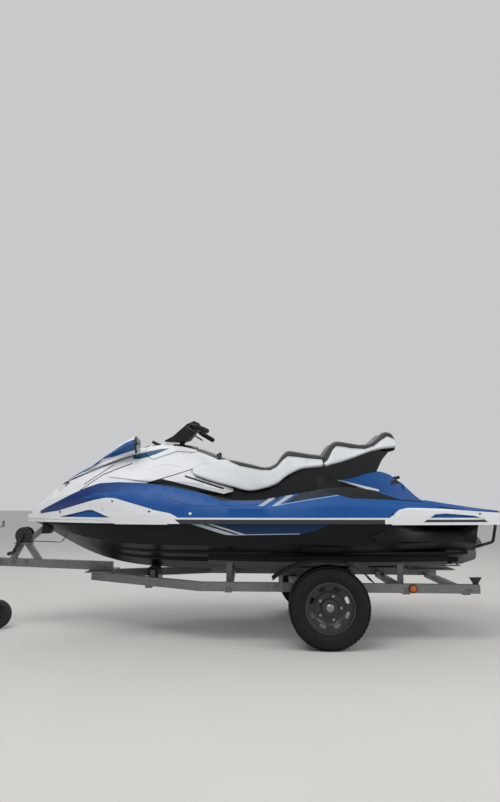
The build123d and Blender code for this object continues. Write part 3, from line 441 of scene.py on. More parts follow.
def paint_console(finish):
    """Paint the white console with its seam, dark strip, the painted shade of its knee slot and the dark
    wedge beside the cowl.
    """
    c = colours()
    console = finish.within(*CONSOLE)
    finish.tint(finish.times(finish.above(SEAM), console), c.white)
    finish.tint(finish.area(STRIP_UPPER, STRIP_LOWER), c.black)
    knee = finish.within(KNEE_START, CONSOLE[1])
    finish.tint(finish.times(finish.below(SEAM), finish.above(STRIP_UPPER), knee), c.white)
    # A dark seam, then painted shade in the knee panel's slot and along its edge
    for line, width in CONSOLE_SEAM_AND_SLOT_SHADE:
        finish.tint(finish.stroke(line, width), c.black)
    wedge = finish.times(finish.area(TEAL_UPPER, TEAL_LOWER), finish.more(finish.breadth, TEAL_HALF))
    finish.tint(wedge, c.teal)
    finish.tint(finish.times(wedge, finish.within(*TEAL_DARK)), c.black)
    foot, roof = BASE_HEIGHTS
    base = finish.times(finish.within(*BASE_ENDS), finish.more(finish.height, foot))
    finish.tint(finish.times(base, finish.less(finish.height, roof)), c.black)
    crown = finish.times(finish.less(finish.breadth, CROWN_HALF), finish.within(*CROWN_ENDS))
    finish.tint(finish.times(crown, finish.more(finish.height, CROWN_FOOT)), c.black)


def paint_tail(finish):
    """Paint the black sweep, the dark triangle of painted shade with a painted highlight along its foot,
    and the slanted stripes beside the seat base.
    """
    c = colours()
    stripes = finish.times(
        finish.more(finish.height, STRIPE_FOOT),
        finish.below(STRIPE_ROOF),
        finish.more(finish.breadth, STRIPE_HALF),
    )
    for first, last in SIDE_STRIPES:
        finish.tint(finish.times(stripes, finish.slanted(SIDE_SLOPE, first, last, -1)), c.silver)
    # A dark triangle of painted shade on the blue side of the seat base, under the seat
    behind = finish.slanted(SIDE_SLOPE, TRIANGLE_START, FAR, -1)
    finish.tint(finish.times(finish.area(TRIANGLE_ROOF, TRIANGLE_FOOT), behind), paint("#15202B"))
    # A light blue line along the triangle's foot: a painted highlight on the edge of the bulwark
    finish.tint(finish.stroke(TRIANGLE_FOOT, 0.006), paint("#6F9BCB"))
    finish.tint(finish.area(SWEEP_UPPER, SWEEP_LOWER), c.black)
    finish.tint(finish.area(FAIRING_UPPER, FAIRING_LOWER), c.white)
    # Painted shade in the tail's slot, then the grab handle's black pad
    for line, width in TAIL_SLOT_SHADE_AND_PAD:
        finish.tint(finish.stroke(line, width), c.black)


def gelcoat(name, colour):
    """Gelcoat with the painted zones and stripes of the upper sides, and painted shade in its grooves and
    creases and along the bow bumper's top edge.
    """
    c = colours()
    finish = Finish(name, colour, 0.50, coat_weight=0.06, coat_roughness=0.4, specular_ior_level=0.3)
    bow_band(finish)
    if name == "gelcoat_white":
        hood_top = finish.times(finish.above(HOOD_STRIPE), finish.within(*HOOD_TOP))
        finish.tint(finish.times(hood_top, finish.less(finish.breadth, HOOD_HALF)), c.blue)
    finish.tint(finish.within(FORE, BOW_TIP), c.white)
    # Dark lines of painted shade in the hood's groove and the bow's creases
    for crease in (HOOD_GROOVE, *BOW_CREASES):
        finish.tint(finish.stroke(crease, 0.008), paint("#24272B"))
    paint_console(finish)
    paint_tail(finish)
    finish.tint(finish.area(BUMPER_TOP[3:], BUMPER_FOOT), c.white)
    finish.tint(finish.area(STERN_TOP, STERN_FOOT), c.white)
    # A navy line of painted shade along the bow bumper's top edge
    finish.tint(finish.stroke(BUMPER_TOP[6:9], 0.005), c.navy)
    # A dark blue line of painted shade in the crease along the side
    finish.tint(finish.stroke(CREASE, 0.006), paint("#08306B"))
    # A grey line of painted shade, at half strength, in the crease of the white cowl
    finish.tint(finish.times(finish.stroke(CONSOLE_CREASE, 0.004), 0.5), paint("#8E9398"))
    finish.vary(finish.noise(3.0), 0.04)
    finish.bump(finish.noise(60.0), 0.0001, 0.1)
    finish.roughen(finish.noise(4.0), 0.44)
    return finish.done()


def hull_gelcoat():
    """Black hull gelcoat, with a navy panel and silver stripes below the rub rail, and scuffs low down."""
    c = colours()
    coat = {"coat_weight": 0.05, "coat_roughness": 0.2, "specular_ior_level": 0.2}
    finish = Finish("hull_gelcoat", c.black, 0.34, **coat)
    panel = finish.area(PANEL_HEAD, PANEL_FOOT)
    finish.tint(finish.times(panel, finish.slanted(PANEL_SLOPE, PANEL_START, FAR)), paint("#0C2B52"))
    for first, last in PANEL_STRIPES:
        finish.tint(finish.times(panel, finish.slanted(PANEL_SLOPE, first, last)), c.silver)
    finish.tint(finish.stroke(PANEL_LINE, 0.005), c.silver)
    scuffs = finish.spread(finish.noise(14.0, 6.0, (0.3, 1, 1)), 0.55, 0.75)
    worn = finish.times(scuffs, finish.spread(finish.height, *LOW_HULL))
    finish.roughen(worn, 0.5)
    finish.tint(finish.times(worn, 0.25), paint("#3A3B3D"))
    finish.bump(finish.noise(50.0), 0.0002, 0.3)
    return finish.done()


def moulded_plastic(name, colour, roughness=0.45):
    """Fine-grained moulded plastic."""
    finish = Finish(name, colour, roughness, specular_ior_level=0.3)
    finish.bump(finish.cells(900.0), 0.0002, 0.5)
    finish.vary(finish.noise(8.0, 3.0), 0.12)
    finish.roughen(finish.spread(finish.noise(5.0, 4.0), 0.5, 0.8), roughness + 0.15)
    return finish.done()


def soft_rubber(name, colour):
    """Soft rubber, dull, with a dusty bloom."""
    finish = Finish(name, colour, 0.7)
    finish.patches(11.0, 5.0, (0.5, 0.8), 0.3, "#4A4845")
    finish.bump(finish.noise(300.0, 4.0), 0.0003, 0.6)
    return finish.done()


def mat_rubber():
    """The deck mats: grooved lengthwise, with painted shade in the grooves and a fine stipple."""
    finish = Finish("mat_rubber", paint("#1E2022"), 0.75, specular_ior_level=0.3)
    groove = finish.spread(finish.wave(finish.y, 80.0), 0.10, 0.25)
    # Painted shade: the bottoms of the grooves darker
    finish.tint(finish.math("SUBTRACT", 1.0, groove), paint("#0D0E0F"))
    finish.bump(groove, 0.0015, 0.8)
    finish.bump(finish.cells(400.0), 0.0005, 0.5)
    finish.patches(7.0, 5.0, (0.55, 0.8), 0.25, "#4A4845")
    return finish.done()


def gauge_face():
    """The gauge: a dark screen with two dials, each a ring of marks inside a pale rim."""
    finish = Finish("gauge_face", paint("#0A0B0D"), 0.12, coat_weight=0.3, coat_roughness=0.1)
    run = finish.math("SUBTRACT", finish.station, GAUGE_STATION)
    fall = finish.math("SUBTRACT", finish.height, GAUGE_Z)
    flat = finish.times(run, math.cos(GAUGE_TILT))
    along = finish.math("SUBTRACT", flat, finish.times(fall, math.sin(GAUGE_TILT)))
    across = finish.math("SUBTRACT", finish.breadth, DIAL_OFFSET)
    reach = finish.reach(along, across)
    turn = finish.math("ARCTAN2", along, across)
    mark = finish.less(finish.wave(turn, DIAL_MARKS / math.pi), MARK_SHARE)
    ring, rim = (
        finish.times(finish.more(reach, inner), finish.less(reach, outer))
        for inner, outer in (DIAL_RING, DIAL_RIM)
    )
    finish.tint(finish.math("MAXIMUM", finish.times(ring, mark), rim), paint("#A9ADB0"))
    finish.bump(finish.cells(900.0), 0.00005, 0.2)
    return finish.done()


def tyre_rubber(colour):
    """Tyre rubber with raised rings on its walls and patches of dust."""
    finish = Finish("tyre_rubber", colour, 0.75, specular_ior_level=0.3)
    across = finish.math("SUBTRACT", finish.x, WHEEL_X)
    up = finish.math("SUBTRACT", finish.height, WHEEL_Z)
    reach = finish.reach(across, up)
    wall = finish.less(reach, TYRE_WALL)
    rings = finish.wave(reach, 260.0)
    finish.bump(finish.times(finish.spread(rings, 0.6, 0.9), wall), 0.0008, 0.6)
    finish.patches(11.0, 5.0, (0.5, 0.8), 0.15, "#33312F")
    finish.bump(finish.noise(300.0, 4.0), 0.0003, 0.6)
    return finish.done()


def seat_vinyl(name, cap):
    """Marine vinyl: pale sides with a leather grain, and a black cap with a raised diamond pattern."""
    c = colours()
    finish = Finish(name, c.seat, 0.42, sheen_weight=0.15)
    finish.vary(finish.noise(6.0, 3.0), 0.05)
    finish.patches(18.0, 6.0, (0.60, 0.8), 0.2, "#7C776E")
    nose = finish.times(finish.less(finish.breadth, NOSE_HALF), finish.within(*NOSE_ENDS))
    nose = finish.times(nose, finish.more(finish.height, NOSE_FOOT))
    black = finish.math("MAXIMUM", finish.above(cap), nose)
    finish.tint(black, c.seat_top)
    finish.roughen(black, 0.5)
    for way in (1, -1):
        slant = finish.math("MULTIPLY_ADD", finish.y, way, finish.station)
        wave = finish.wave(slant, 90.0)
        finish.bump(finish.times(finish.spread(wave, 0.0, 0.25), black), 0.0008, 0.7)
    stitch = finish.wave(finish.station, 160.0)
    row = finish.stroke([(s, h - STITCH_DROP) for s, h in cap], 0.003)
    finish.tint(finish.times(row, finish.more(stitch, 0.4)), paint("#3B3E41"))
    finish.bump(finish.cells(650.0), 0.0004, 0.5)
    finish.bump(finish.noise(25.0, 3.0), 0.0012, 0.4)
    return finish.done()


def zinc(name, colour):
    """Hot-dip galvanised steel, with its spangle and dull patches."""
    finish = Finish(name, colour, 0.45, metallic=0.75)
    spangle = finish.add("TexVoronoi", {0: finish.object, 2: 90.0}).outputs[1]
    shade = finish.add("SeparateColor", {0: spangle}).outputs[0]
    finish.vary(shade, 0.12)
    finish.roughen(finish.spread(finish.noise(6.0, 5.0), 0.4, 0.7), 0.62)
    finish.patches(16.0, 6.0, (0.6, 0.75), 0.45, "#5C5148")
    finish.bump(finish.noise(120.0, 4.0), 0.0003, 0.5)
    return finish.done()


def cast_metal(name, colour, roughness=0.4):
    """Cast or machined metal."""
    finish = Finish(name, colour, roughness, metallic=0.9)
    finish.bump(finish.noise(400.0, 3.0), 0.0003, 0.5)
    finish.vary(finish.noise(12.0, 3.0), 0.15)
    return finish.done()


def painted_steel(name, colour, roughness=0.4):
    """Painted steel with small scattered chips."""
    finish = Finish(name, colour, roughness)
    finish.bump(finish.noise(90.0, 3.0), 0.0002, 0.5)
    finish.tint(finish.spread(finish.noise(35.0, 8.0), 0.68, 0.72), paint("#4A3B30"))
    finish.vary(finish.noise(10.0, 3.0), 0.12)
    return finish.done()


def woven(name, colour):
    """Flat webbing, woven in fine ribs."""
    finish = Finish(name, colour, 0.8, sheen_weight=0.2)
    rib = finish.wave(finish.y, 700.0)
    cross = finish.wave(finish.x, 500.0)
    finish.bump(finish.math("ADD", rib, cross), 0.0004, 0.7)
    finish.vary(finish.noise(30.0, 4.0), 0.2)
    return finish.done()


def carpet(name, colour):
    """Short carpet pile on the bunks."""
    finish = Finish(name, colour, 0.95, sheen_weight=0.3)
    finish.bump(finish.noise(500.0, 5.0), 0.002, 0.9)
    finish.vary(finish.noise(200.0, 3.0), 0.35)
    return finish.done()


def mirror_glass():
    """Silvered glass."""
    finish = Finish("mirror_glass", paint("#4B5054"), 0.05, metallic=1.0)
    finish.roughen(finish.spread(finish.noise(20.0, 4.0), 0.6, 0.8), 0.12)
    return finish.done()


def amber_lens():
    """Amber lens plastic with fine ribs."""
    finish = Finish("amber_lens", metal_colours().amber, 0.15, transmission_weight=0.3, ior=1.49)
    rib = finish.wave(finish.x, 300.0)
    finish.bump(rib, 0.0006, 0.8)
    finish.vary(finish.noise(30.0), 0.1)
    return finish.done()


def mirror_shell():
    """The mirror housings: blue, with white edges above and below, and black at the rear."""
    c = colours()
    finish = Finish("mirror_shell", c.blue, 0.16, coat_weight=0.5, coat_roughness=0.06)
    finish.tint(finish.above(MIRROR_TOP), c.white)
    finish.tint(finish.below(MIRROR_LOW), c.white)
    finish.tint(finish.more(finish.station, MIRROR_REAR), c.trim)
    finish.vary(finish.noise(3.0), 0.04)
    finish.bump(finish.noise(60.0), 0.0002, 0.3)
    return finish.done()


def bumper_finish():
    """The white bumpers' soft plastic, with the bow's band painted on over its upper edge and a line of
    painted shade along its step.
    """
    finish = Finish("bumper_white", colours().white, 0.35, coat_weight=0.15)
    over = finish.times(finish.above(BUMPER_TOP[:6]), finish.within(*OVERLAP_ENDS))
    finish.tint(over, colours().navy)
    bow_white(finish)
    # A grey line of painted shade along the bumper's lower step
    finish.tint(finish.stroke(BUMPER_STEP, 0.004), paint("#6D7175"))
    finish.bump(finish.cells(700.0), 0.0002, 0.4)
    finish.vary(finish.noise(5.0, 4.0), 0.05)
    finish.patches(20.0, 6.0, (0.6, 0.8), 0.3, "#8C8A85")
    return finish.done()


def rail_finish():
    """The rub rail: dark rubber with its white insert along the top."""
    finish = Finish("rail_rubber", paint("#2A2C2F"), 0.6)
    insert = finish.more(finish.height, PINSTRIPE - INSERT_HALF)
    tip = finish.slanted(TIP_SLOPE, -FAR, BUMPER_TIP + TIP_SLOPE * RAIL_FOOT)
    for zone in (insert, tip, finish.within(*RAIL_WHITE)):
        finish.tint(zone, colours().white)
    finish.bump(finish.noise(300.0, 4.0), 0.0002, 0.5)
    finish.vary(finish.noise(9.0, 4.0), 0.1)
    return finish.done()


# Pieces


class CraftOperator:
    """What the operators share."""

    bl_options = {"REGISTER", "UNDO"}


def link(name, data):
    """An object at the origin that shows a mesh, a curve, a lamp or a camera."""
    piece = bpy.data.objects.new(name, data)
    bpy.context.scene.collection.objects.link(piece)
    return piece


def plain_mesh(name, points, faces=()):
    """A mesh of points, with the faces between them where there are any."""
    mesh = bpy.data.meshes.new(name)
    mesh.from_pydata(points, [], faces)
    return mesh


def smooth_shade(mesh, degrees=30):
    """Shade a mesh smooth, apart from edges sharper than that."""
    for polygon in mesh.polygons:
        polygon.use_smooth = True
    mesh.set_sharp_from_angle(angle=math.radians(degrees))


def evaluated_mesh(piece, name):
    """The piece's mesh with its modifiers applied, or the mesh of a curve; the piece itself goes."""
    bpy.context.view_layer.update()
    mesh = bpy.data.meshes.new_from_object(piece.evaluated_get(bpy.context.evaluated_depsgraph_get()))
    bpy.data.objects.remove(piece)
    mesh.name = name
    return mesh


def on_circle(i, count, radius, centre, y):
    """The i-th of so many points on a circle about an axis along Y."""
    angle = 2 * math.pi * i / count
    return (centre[0] + radius * math.cos(angle), y, centre[2] + radius * math.sin(angle))


# Mirror fins: station, y, height, half breadth, half height
FIN_ROWS = [
    (0.470, 0.175, 1.170, 0.003, 0.003),
    (0.520, 0.203, 1.195, 0.012, 0.008),
    (0.580, 0.236, 1.229, 0.021, 0.014),
    (0.640, 0.266, 1.260, 0.028, 0.019),
    (0.672, 0.280, 1.276, 0.031, 0.021),
]
FIN_ROUND = 24


def fin_grid(side):
    """The rings of points of a fin that runs over the hood to its mirror."""
    rings = []
    for station, y, z, breadth, rise in FIN_ROWS:
        ring = []
        for i in range(FIN_ROUND):
            angle = 2 * math.pi * i / FIN_ROUND
            across = side * (y + breadth * math.cos(angle))
            ring.append(Vector((station + BOW, across, z + rise * math.sin(angle))))
        rings.append(ring if side > 0 else ring[::-1])
    return rings


class CRAFT_OT_gelcoat(CraftOperator, bpy.types.Operator):
    """Paint the hull, the deck, the bumpers and the mirrors, and make the fins ahead of the mirrors"""

    bl_idname = "craft.gelcoat"
    bl_label = "Gelcoat"

    def execute(self, context):
        c = colours()
        dress(gelcoat("gelcoat_blue", c.blue), "deck", "tail_fairing")
        dress(gelcoat("gelcoat_white", c.white), "hood", "knee_panels", "cowl_cap")
        dress(bumper_finish(), "bow_bumper", "stern_bumper")
        dress(hull_gelcoat(), "hull", "sponsons")
        shell = mirror_shell()
        dress(shell, "mirror_housings")
        for side, word in SIDES:
            fin = grid_mesh("mirror_fin_" + word, fin_grid(side), [shell], close=True)
            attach(fin, "hood")
        dress(mirror_glass(), "mirror_glasses")
        return {"FINISHED"}


class CRAFT_OT_trim(CraftOperator, bpy.types.Operator):
    """Finish the black trim, the rubber and the controls"""

    bl_idname = "craft.trim"
    bl_label = "Trim"

    def execute(self, context):
        plastic = moulded_plastic("trim_black", colours().trim)
        dress(gauge_face(), "gauge")
        dress(plastic, "seat_base", "handlebar", "levers", "glovebox_lid", "grab_handle", "intake_grate")
        dress(rail_finish(), "rub_rail")
        dress(mat_rubber(), "deck_mats")
        dress(soft_rubber("grip_rubber", paint("#141516")), "grips")
        return {"FINISHED"}


class CRAFT_OT_jet_pump(CraftOperator, bpy.types.Operator):
    """Finish the jet pump, the eyes and the boarding step"""

    bl_idname = "craft.jet_pump"
    bl_label = "Jet pump"

    def execute(self, context):
        pump = cast_metal("pump_metal", paint("#6E7276"), 0.5)
        dress(pump, "pump_housing", "ride_plate", "steering_nozzle", "reverse_bucket")
        stainless = cast_metal("stainless", paint("#B5B7B9"), 0.22)
        dress(stainless, "impeller", "hull_eyes", "hood_hinge", "strap_hook")
        dress(cast_metal("engine_metal", paint("#4A4B4D"), 0.6), "engine")
        dress(painted_steel("black_tube", paint("#141517"), 0.3), "boarding_step", "step_brackets")
        return {"FINISHED"}


class CRAFT_OT_trailer(CraftOperator, bpy.types.Operator):
    """Finish the trailer's frame, winch, bunks and mudguards, and make its marker lamps"""

    bl_idname = "craft.trailer"
    bl_label = "Trailer"

    def execute(self, context):
        m = metal_colours()
        steel = zinc("galvanised", m.zinc)
        dress(steel, "drawbar", "rail_left", "rail_right", "cross_members", "axle", "mudguard_stays")
        dress(steel, "winch_post", "coupling_head", "jockey_tube", "jockey_leg", "jockey_fork")
        dress(painted_steel("winch_paint", paint("#1B1C1E")), "winch")
        dress(woven("strap_webbing", paint("#3A3B38")), "winch_strap")
        dress(soft_rubber("stop_rubber", m.rubber), "bow_stop", "keel_rollers", "jockey_wheel")
        dress(moulded_plastic("guard_plastic", paint("#141516"), 0.5), "mudguards")
        dress(carpet("bunk_carpet", m.carpet), "bunks")
        lens = amber_lens()
        rim = moulded_plastic("lamp_rim", paint("#141516"), 0.4)
        for side, word in SIDES:
            centre = (LAMP_STATION + BOW, side * RAIL_FACE, LAMP_Z)
            dome = lathe("marker_lens_" + word, LENS_PROFILE, centre, side, LAMP_ROUND, lens)
            ring = lathe("marker_ring_" + word, LAMP_RING, centre, side, LAMP_ROUND, rim)
            for piece in (dome, ring):
                smooth_shade(piece.data)
                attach(piece, "root")
            if side < 0:
                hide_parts("marker_lamps")
        dress(painted_steel("bracket_paint", paint("#131415")), "light_brackets")
        return {"FINISHED"}


# Seats


def smooth_run(points, count):
    """That many points along a smooth curve through the given ones, evenly by parameter."""
    points = [Vector(p) for p in points]
    chain = [points[0] * 2 - points[1], *points, points[-1] * 2 - points[-2]]
    run = []
    for i in range(count):
        t = i / (count - 1) * (len(points) - 1)
        k = min(int(t), len(points) - 2)
        t -= k
        a, b, c, d = chain[k : k + 4]
        straight = b * 2 + (c - a) * t
        run.append((straight + (a * 2 - b * 5 + c * 4 - d) * t * t + (b * 3 - a - c * 3 + d) * t**3) / 2)
    return run


def skin(sections, across, along):
    """A smooth grid of points through sections, each a list of (x, y, z) points."""
    fine = [smooth_run(section, across) for section in sections]
    columns = [smooth_run([row[j] for row in fine], along) for j in range(across)]
    return [[column[i] for column in columns] for i in range(along)]


def first_slot(row, column):
    """The material slot of a grid that has only one."""
    return 0


def grid_mesh(name, grid, materials, pick=first_slot, close=False):
    """A mesh over a grid of points, its faces given materials by pick(row, column)."""
    rows, columns = len(grid), len(grid[0])
    verts = [p for row in grid for p in row]
    faces = []
    slots = []
    for i in range(rows - 1):
        for j in range(columns - 1 + close):
            k = (j + 1) % columns
            faces.append((i * columns + j, i * columns + k, (i + 1) * columns + k, (i + 1) * columns + j))
            slots.append(pick(i, j))
    if close:
        faces.append(tuple(range(columns - 1, -1, -1)))
        faces.append(tuple((rows - 1) * columns + j for j in range(columns)))
        slots += [pick(0, 0), pick(rows - 2, 0)]
    mesh = plain_mesh(name, verts, faces)
    for material in materials:
        mesh.materials.append(material)
    for polygon, slot in zip(mesh.polygons, slots):
        polygon.material_index = slot
        polygon.use_smooth = True
    return link(name, mesh)


# Seat sections: station, top at the middle, half breadth and height of the bolster's edge,
# half breadth and height of the lower edge
FRONT_SEAT = [
    (1.306, 1.190, 0.246, 1.184, 0.280, 1.176),
    (1.332, 1.226, 0.246, 1.206, 0.292, 1.140),
    (1.470, 1.258, 0.238, 1.234, 0.296, 1.094),
    (1.600, 1.262, 0.240, 1.236, 0.296, 1.060),
    (1.735, 1.234, 0.246, 1.208, 0.294, 1.028),
    (1.862, 1.208, 0.246, 1.184, 0.286, 1.050),
    (1.944, 1.240, 0.238, 1.208, 0.278, 1.082),
    (1.996, 1.306, 0.228, 1.268, 0.272, 1.122),
    (2.038, 1.334, 0.222, 1.302, 0.266, 1.150),
    (2.120, 1.324, 0.224, 1.294, 0.264, 1.188),
    (2.200, 1.310, 0.224, 1.280, 0.262, 1.200),
    (2.272, 1.302, 0.222, 1.272, 0.258, 1.208),
    (2.294, 1.290, 0.214, 1.262, 0.250, 1.214),
]
REAR_SEAT = [
    (2.300, 1.284, 0.212, 1.256, 0.248, 1.220),
    (2.318, 1.318, 0.214, 1.284, 0.254, 1.212),
    (2.362, 1.382, 0.208, 1.346, 0.252, 1.226),
    (2.412, 1.409, 0.206, 1.376, 0.250, 1.238),
    (2.500, 1.397, 0.208, 1.364, 0.248, 1.266),
    (2.600, 1.383, 0.208, 1.351, 0.242, 1.302),
    (2.672, 1.396, 0.204, 1.361, 0.236, 1.326),
    (2.730, 1.440, 0.196, 1.398, 0.228, 1.342),
    (2.780, 1.480, 0.190, 1.440, 0.220, 1.350),
    (2.836, 1.474, 0.184, 1.442, 0.212, 1.356),
    (2.860, 1.436, 0.178, 1.420, 0.204, 1.362),
]
FRONT_CAP = [
    (1.290, 1.300), (1.540, 1.280), (1.600, 1.244), (1.666, 1.216), (1.832, 1.184), (1.895, 1.184),
    (1.940, 1.206), (1.990, 1.262), (2.030, 1.290), (2.105, 1.284), (2.196, 1.272), (2.300, 1.264),
]
REAR_CAP = [
    (2.290, 1.225), (2.330, 1.262), (2.372, 1.340), (2.400, 1.368), (2.450, 1.364), (2.521, 1.351),
    (2.622, 1.345), (2.690, 1.368), (2.749, 1.414), (2.800, 1.446), (2.870, 1.420),
]
STITCH_DROP = 0.010
SEAM_REACH = 0.014
SEAM_DEEP = 0.004
SEAM_CLEAR = 0.1
SEAT_ACROSS = 121
SEAT_ALONG = 190
LIP_COLUMNS = 8
LIP_DEPTH = 0.024


def seat_section(row):
    """A seat's section from its port lower edge over the top to its starboard lower edge."""
    station, top, bolster_y, bolster_z, foot_y, foot_z = row
    x = station + BOW
    waist_z = foot_z * 0.55 + bolster_z * 0.45
    # From the middle of the top over the bolster and down the side to the lip that is tucked in
    half = [
        (x, 0, top - 0.006),
        (x, bolster_y * 0.34, top - 0.004),
        (x, bolster_y * 0.64, top + 0.001),
        (x, bolster_y * 0.88, top * 0.7 + bolster_z * 0.3 + 0.002),
        (x, bolster_y + 0.004, bolster_z),
        (x, (bolster_y * 0.4 + foot_y * 0.6) + 0.006, waist_z),
        (x, foot_y + 0.002, foot_z + 0.012),
        (x, foot_y - 0.012, foot_z - 0.004),
        (x, foot_y - 0.05, foot_z - LIP_DEPTH),
    ]
    return [(px, -py, pz) for px, py, pz in reversed(half)] + half[1:]


def height_at(line, station):
    """The height of a line at a station, straight between its points."""
    for (s1, h1), (s2, h2) in zip(line, line[1:]):
        if station <= s2:
            return h1 + (h2 - h1) * max(station - s1, 0) / (s2 - s1)
    return line[-1][1]


def crossings(row, cap):
    """The two points at which a row of a seat's grid crosses the edge of its cap."""
    found = []
    for a, b in zip(row, row[1:]):
        over_a = a.z - height_at(cap, a.x - BOW)
        over_b = b.z - height_at(cap, b.x - BOW)
        if (over_a < 0) != (over_b < 0):
            found.append(a + (b - a) * (over_a / (over_a - over_b)))
    return found[:1] + found[-1:]


def make_seat(name, rows, cap, material):
    """A moulded seat with the seam of its cap pressed in, and the runs of that seam's piping."""
    grid = skin([seat_section(row) for row in rows], SEAT_ACROSS, SEAT_ALONG)
    for row in grid:
        for point in row:
            near = 1 - abs(point.z - height_at(cap, point.x - BOW)) / SEAM_REACH
            if near > 0 and abs(point.y) > SEAM_CLEAR:
                point.y -= math.copysign(SEAM_DEEP * near * near, point.y)
    lip = moulded_plastic(name + "_lip", colours().trim)
    under = SEAT_ACROSS - LIP_COLUMNS - 1

    def is_lip(row, column):
        return int(not LIP_COLUMNS <= column < under)

    piece = grid_mesh(name, grid, [material, lip], is_lip, close=True)
    pairs = [crossings(row, cap) for row in grid]
    runs = [[pair[i] for pair in pairs if len(pair) == 2] for i in (0, 1)]
    return piece, runs


def pipe(name, runs, radius, material):
    """Round beading along one or more runs of points, as one mesh."""
    curve = bpy.data.curves.new(name, "CURVE")
    curve.dimensions = "3D"
    curve.bevel_depth = radius
    curve.bevel_resolution = 2
    for run in runs:
        spline = curve.splines.new("POLY")
        spline.points.add(len(run) - 1)
        for point, place in zip(spline.points, run):
            point.co = (*place, 1)
    mesh = evaluated_mesh(link(name + "_curve", curve), name)
    mesh.materials.clear()
    mesh.materials.append(material)
    return link(name, mesh)


class CRAFT_OT_seats(CraftOperator, bpy.types.Operator):
    """Make the two stepped seats with their seams and piping"""

    bl_idname = "craft.seats"
    bl_label = "Seats"

    def execute(self, context):
        beading = moulded_plastic("piping", paint("#1B1D1F"), 0.5)
        for name, rows, cap, node in (
            ("seat_front", FRONT_SEAT, FRONT_CAP, "front_seat"),
            ("seat_rear", REAR_SEAT, REAR_CAP, "rear_seat"),
        ):
            seat, seams = make_seat(name, rows, cap, seat_vinyl(name + "_vinyl", cap))
            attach(seat, "root")
            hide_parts(node)
            piping = pipe(name + "_piping", seams, sizes().piping, beading)
            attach(piping, "root")
        return {"FINISHED"}


# Mouldings, wheels and fasteners

# How high the deck's rim stands over the platform at each station, as a share of what the solids have
RIM_LIFT = [
    (2.860, 1.00), (2.950, 1.30), (3.000, 1.49), (3.050, 1.57), (3.100, 1.45), (3.165, 1.07), (3.200, 0.81),
    (3.250, 0.53), (3.300, 0.35), (3.350, 0.25), (3.400, 0.18), (3.450, 0.14), (3.500, 0.09), (3.600, 0.08),
]
PLATFORM = 0.880
RIM_INNER = 0.450
MERGE_REACH = 1e-6


# The radius of a profile's point on the axis, just enough to keep the ring of faces there open
ON_AXIS = 0.0001


def moulding_of(node, name):
    """A copy of a CAD node's mesh with its doubles merged, as a piece of its own."""
    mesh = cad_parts[node].data.copy()
    mesh.name = name
    shell = bmesh.new()
    shell.from_mesh(mesh)
    bmesh.ops.remove_doubles(shell, verts=shell.verts, dist=MERGE_REACH)
    shell.to_mesh(mesh)
    shell.free()
    return link(name, mesh)


class CRAFT_OT_gunwale(CraftOperator, bpy.types.Operator):
    """Mould the deck again with the fair line of its rim past the seats"""

    bl_idname = "craft.gunwale"
    bl_label = "Gunwale"

    def execute(self, context):
        deck = moulding_of("deck", "deck_moulding")
        for vertex in deck.data.vertices:
            station = vertex.co.x - BOW
            if abs(vertex.co.y) > RIM_INNER and vertex.co.z > PLATFORM and station > RIM_LIFT[0][0]:
                vertex.co.z = PLATFORM + (vertex.co.z - PLATFORM) * height_at(RIM_LIFT, station)
        smooth_shade(deck.data)
        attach(deck, "root")
        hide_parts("deck")
        return {"FINISHED"}


def lathe(name, points, centre, side, segments, material):
    """A closed form turned about an axis along Y, from (offset outwards, radius) points."""
    verts = []
    faces = []
    count = len(points)
    for i in range(segments):
        for offset, radius in points:
            verts.append(on_circle(i, segments, radius, centre, centre[1] + side * offset))
        after = (i + 1) % segments
        for j in range(count):
            k = (j + 1) % count
            faces.append((i * count + j, i * count + k, after * count + k, after * count + j))
    mesh = plain_mesh(name, verts, faces)
    mesh.materials.append(material)
    shell = bmesh.new()
    shell.from_mesh(mesh)
    bmesh.ops.recalc_face_normals(shell, faces=shell.faces)
    shell.to_mesh(mesh)
    shell.free()
    return link(name, mesh)


class Tree:
    """A Geometry Nodes tree in the making, with named inputs."""

    def __init__(self, name, sockets):
        self.tree = bpy.data.node_groups.new(name, "GeometryNodeTree")
        interface = self.tree.interface
        self.keys = {}
        interface.new_socket("Geometry", in_out="INPUT", socket_type="NodeSocketGeometry")
        for label, (kind, value) in sockets.items():
            socket = interface.new_socket(label, in_out="INPUT", socket_type="NodeSocket" + kind)
            if value is not None:
                socket.default_value = value
            self.keys[label] = socket.identifier
        interface.new_socket("Geometry", in_out="OUTPUT", socket_type="NodeSocketGeometry")
        self.inputs = self.tree.nodes.new("NodeGroupInput").outputs

    def add(self, kind, inputs, **settings):
        """A geometry or function node."""
        return add_node(self.tree, kind, inputs, settings)

    def finish(self, geometry, material):
        """Realize the instances, give them their material and end the tree."""
        real = self.add("GeometryNodeRealizeInstances", {0: geometry})
        dressed = self.add("GeometryNodeSetMaterial", {0: real.outputs[0], 2: material})
        self.add("NodeGroupOutput", {0: dressed.outputs[0]})
        return self

    def grow(self, name, host, values):
        """Run the tree on a host mesh with these inputs, and give the mesh that it makes."""
        holder = link(name, host)
        modifier = holder.modifiers.new(name, "NODES")
        modifier.node_group = self.tree
        for label, value in values.items():
            modifier[self.keys[label]] = value
        return evaluated_mesh(holder, name)


HEAD_EDGE = 40


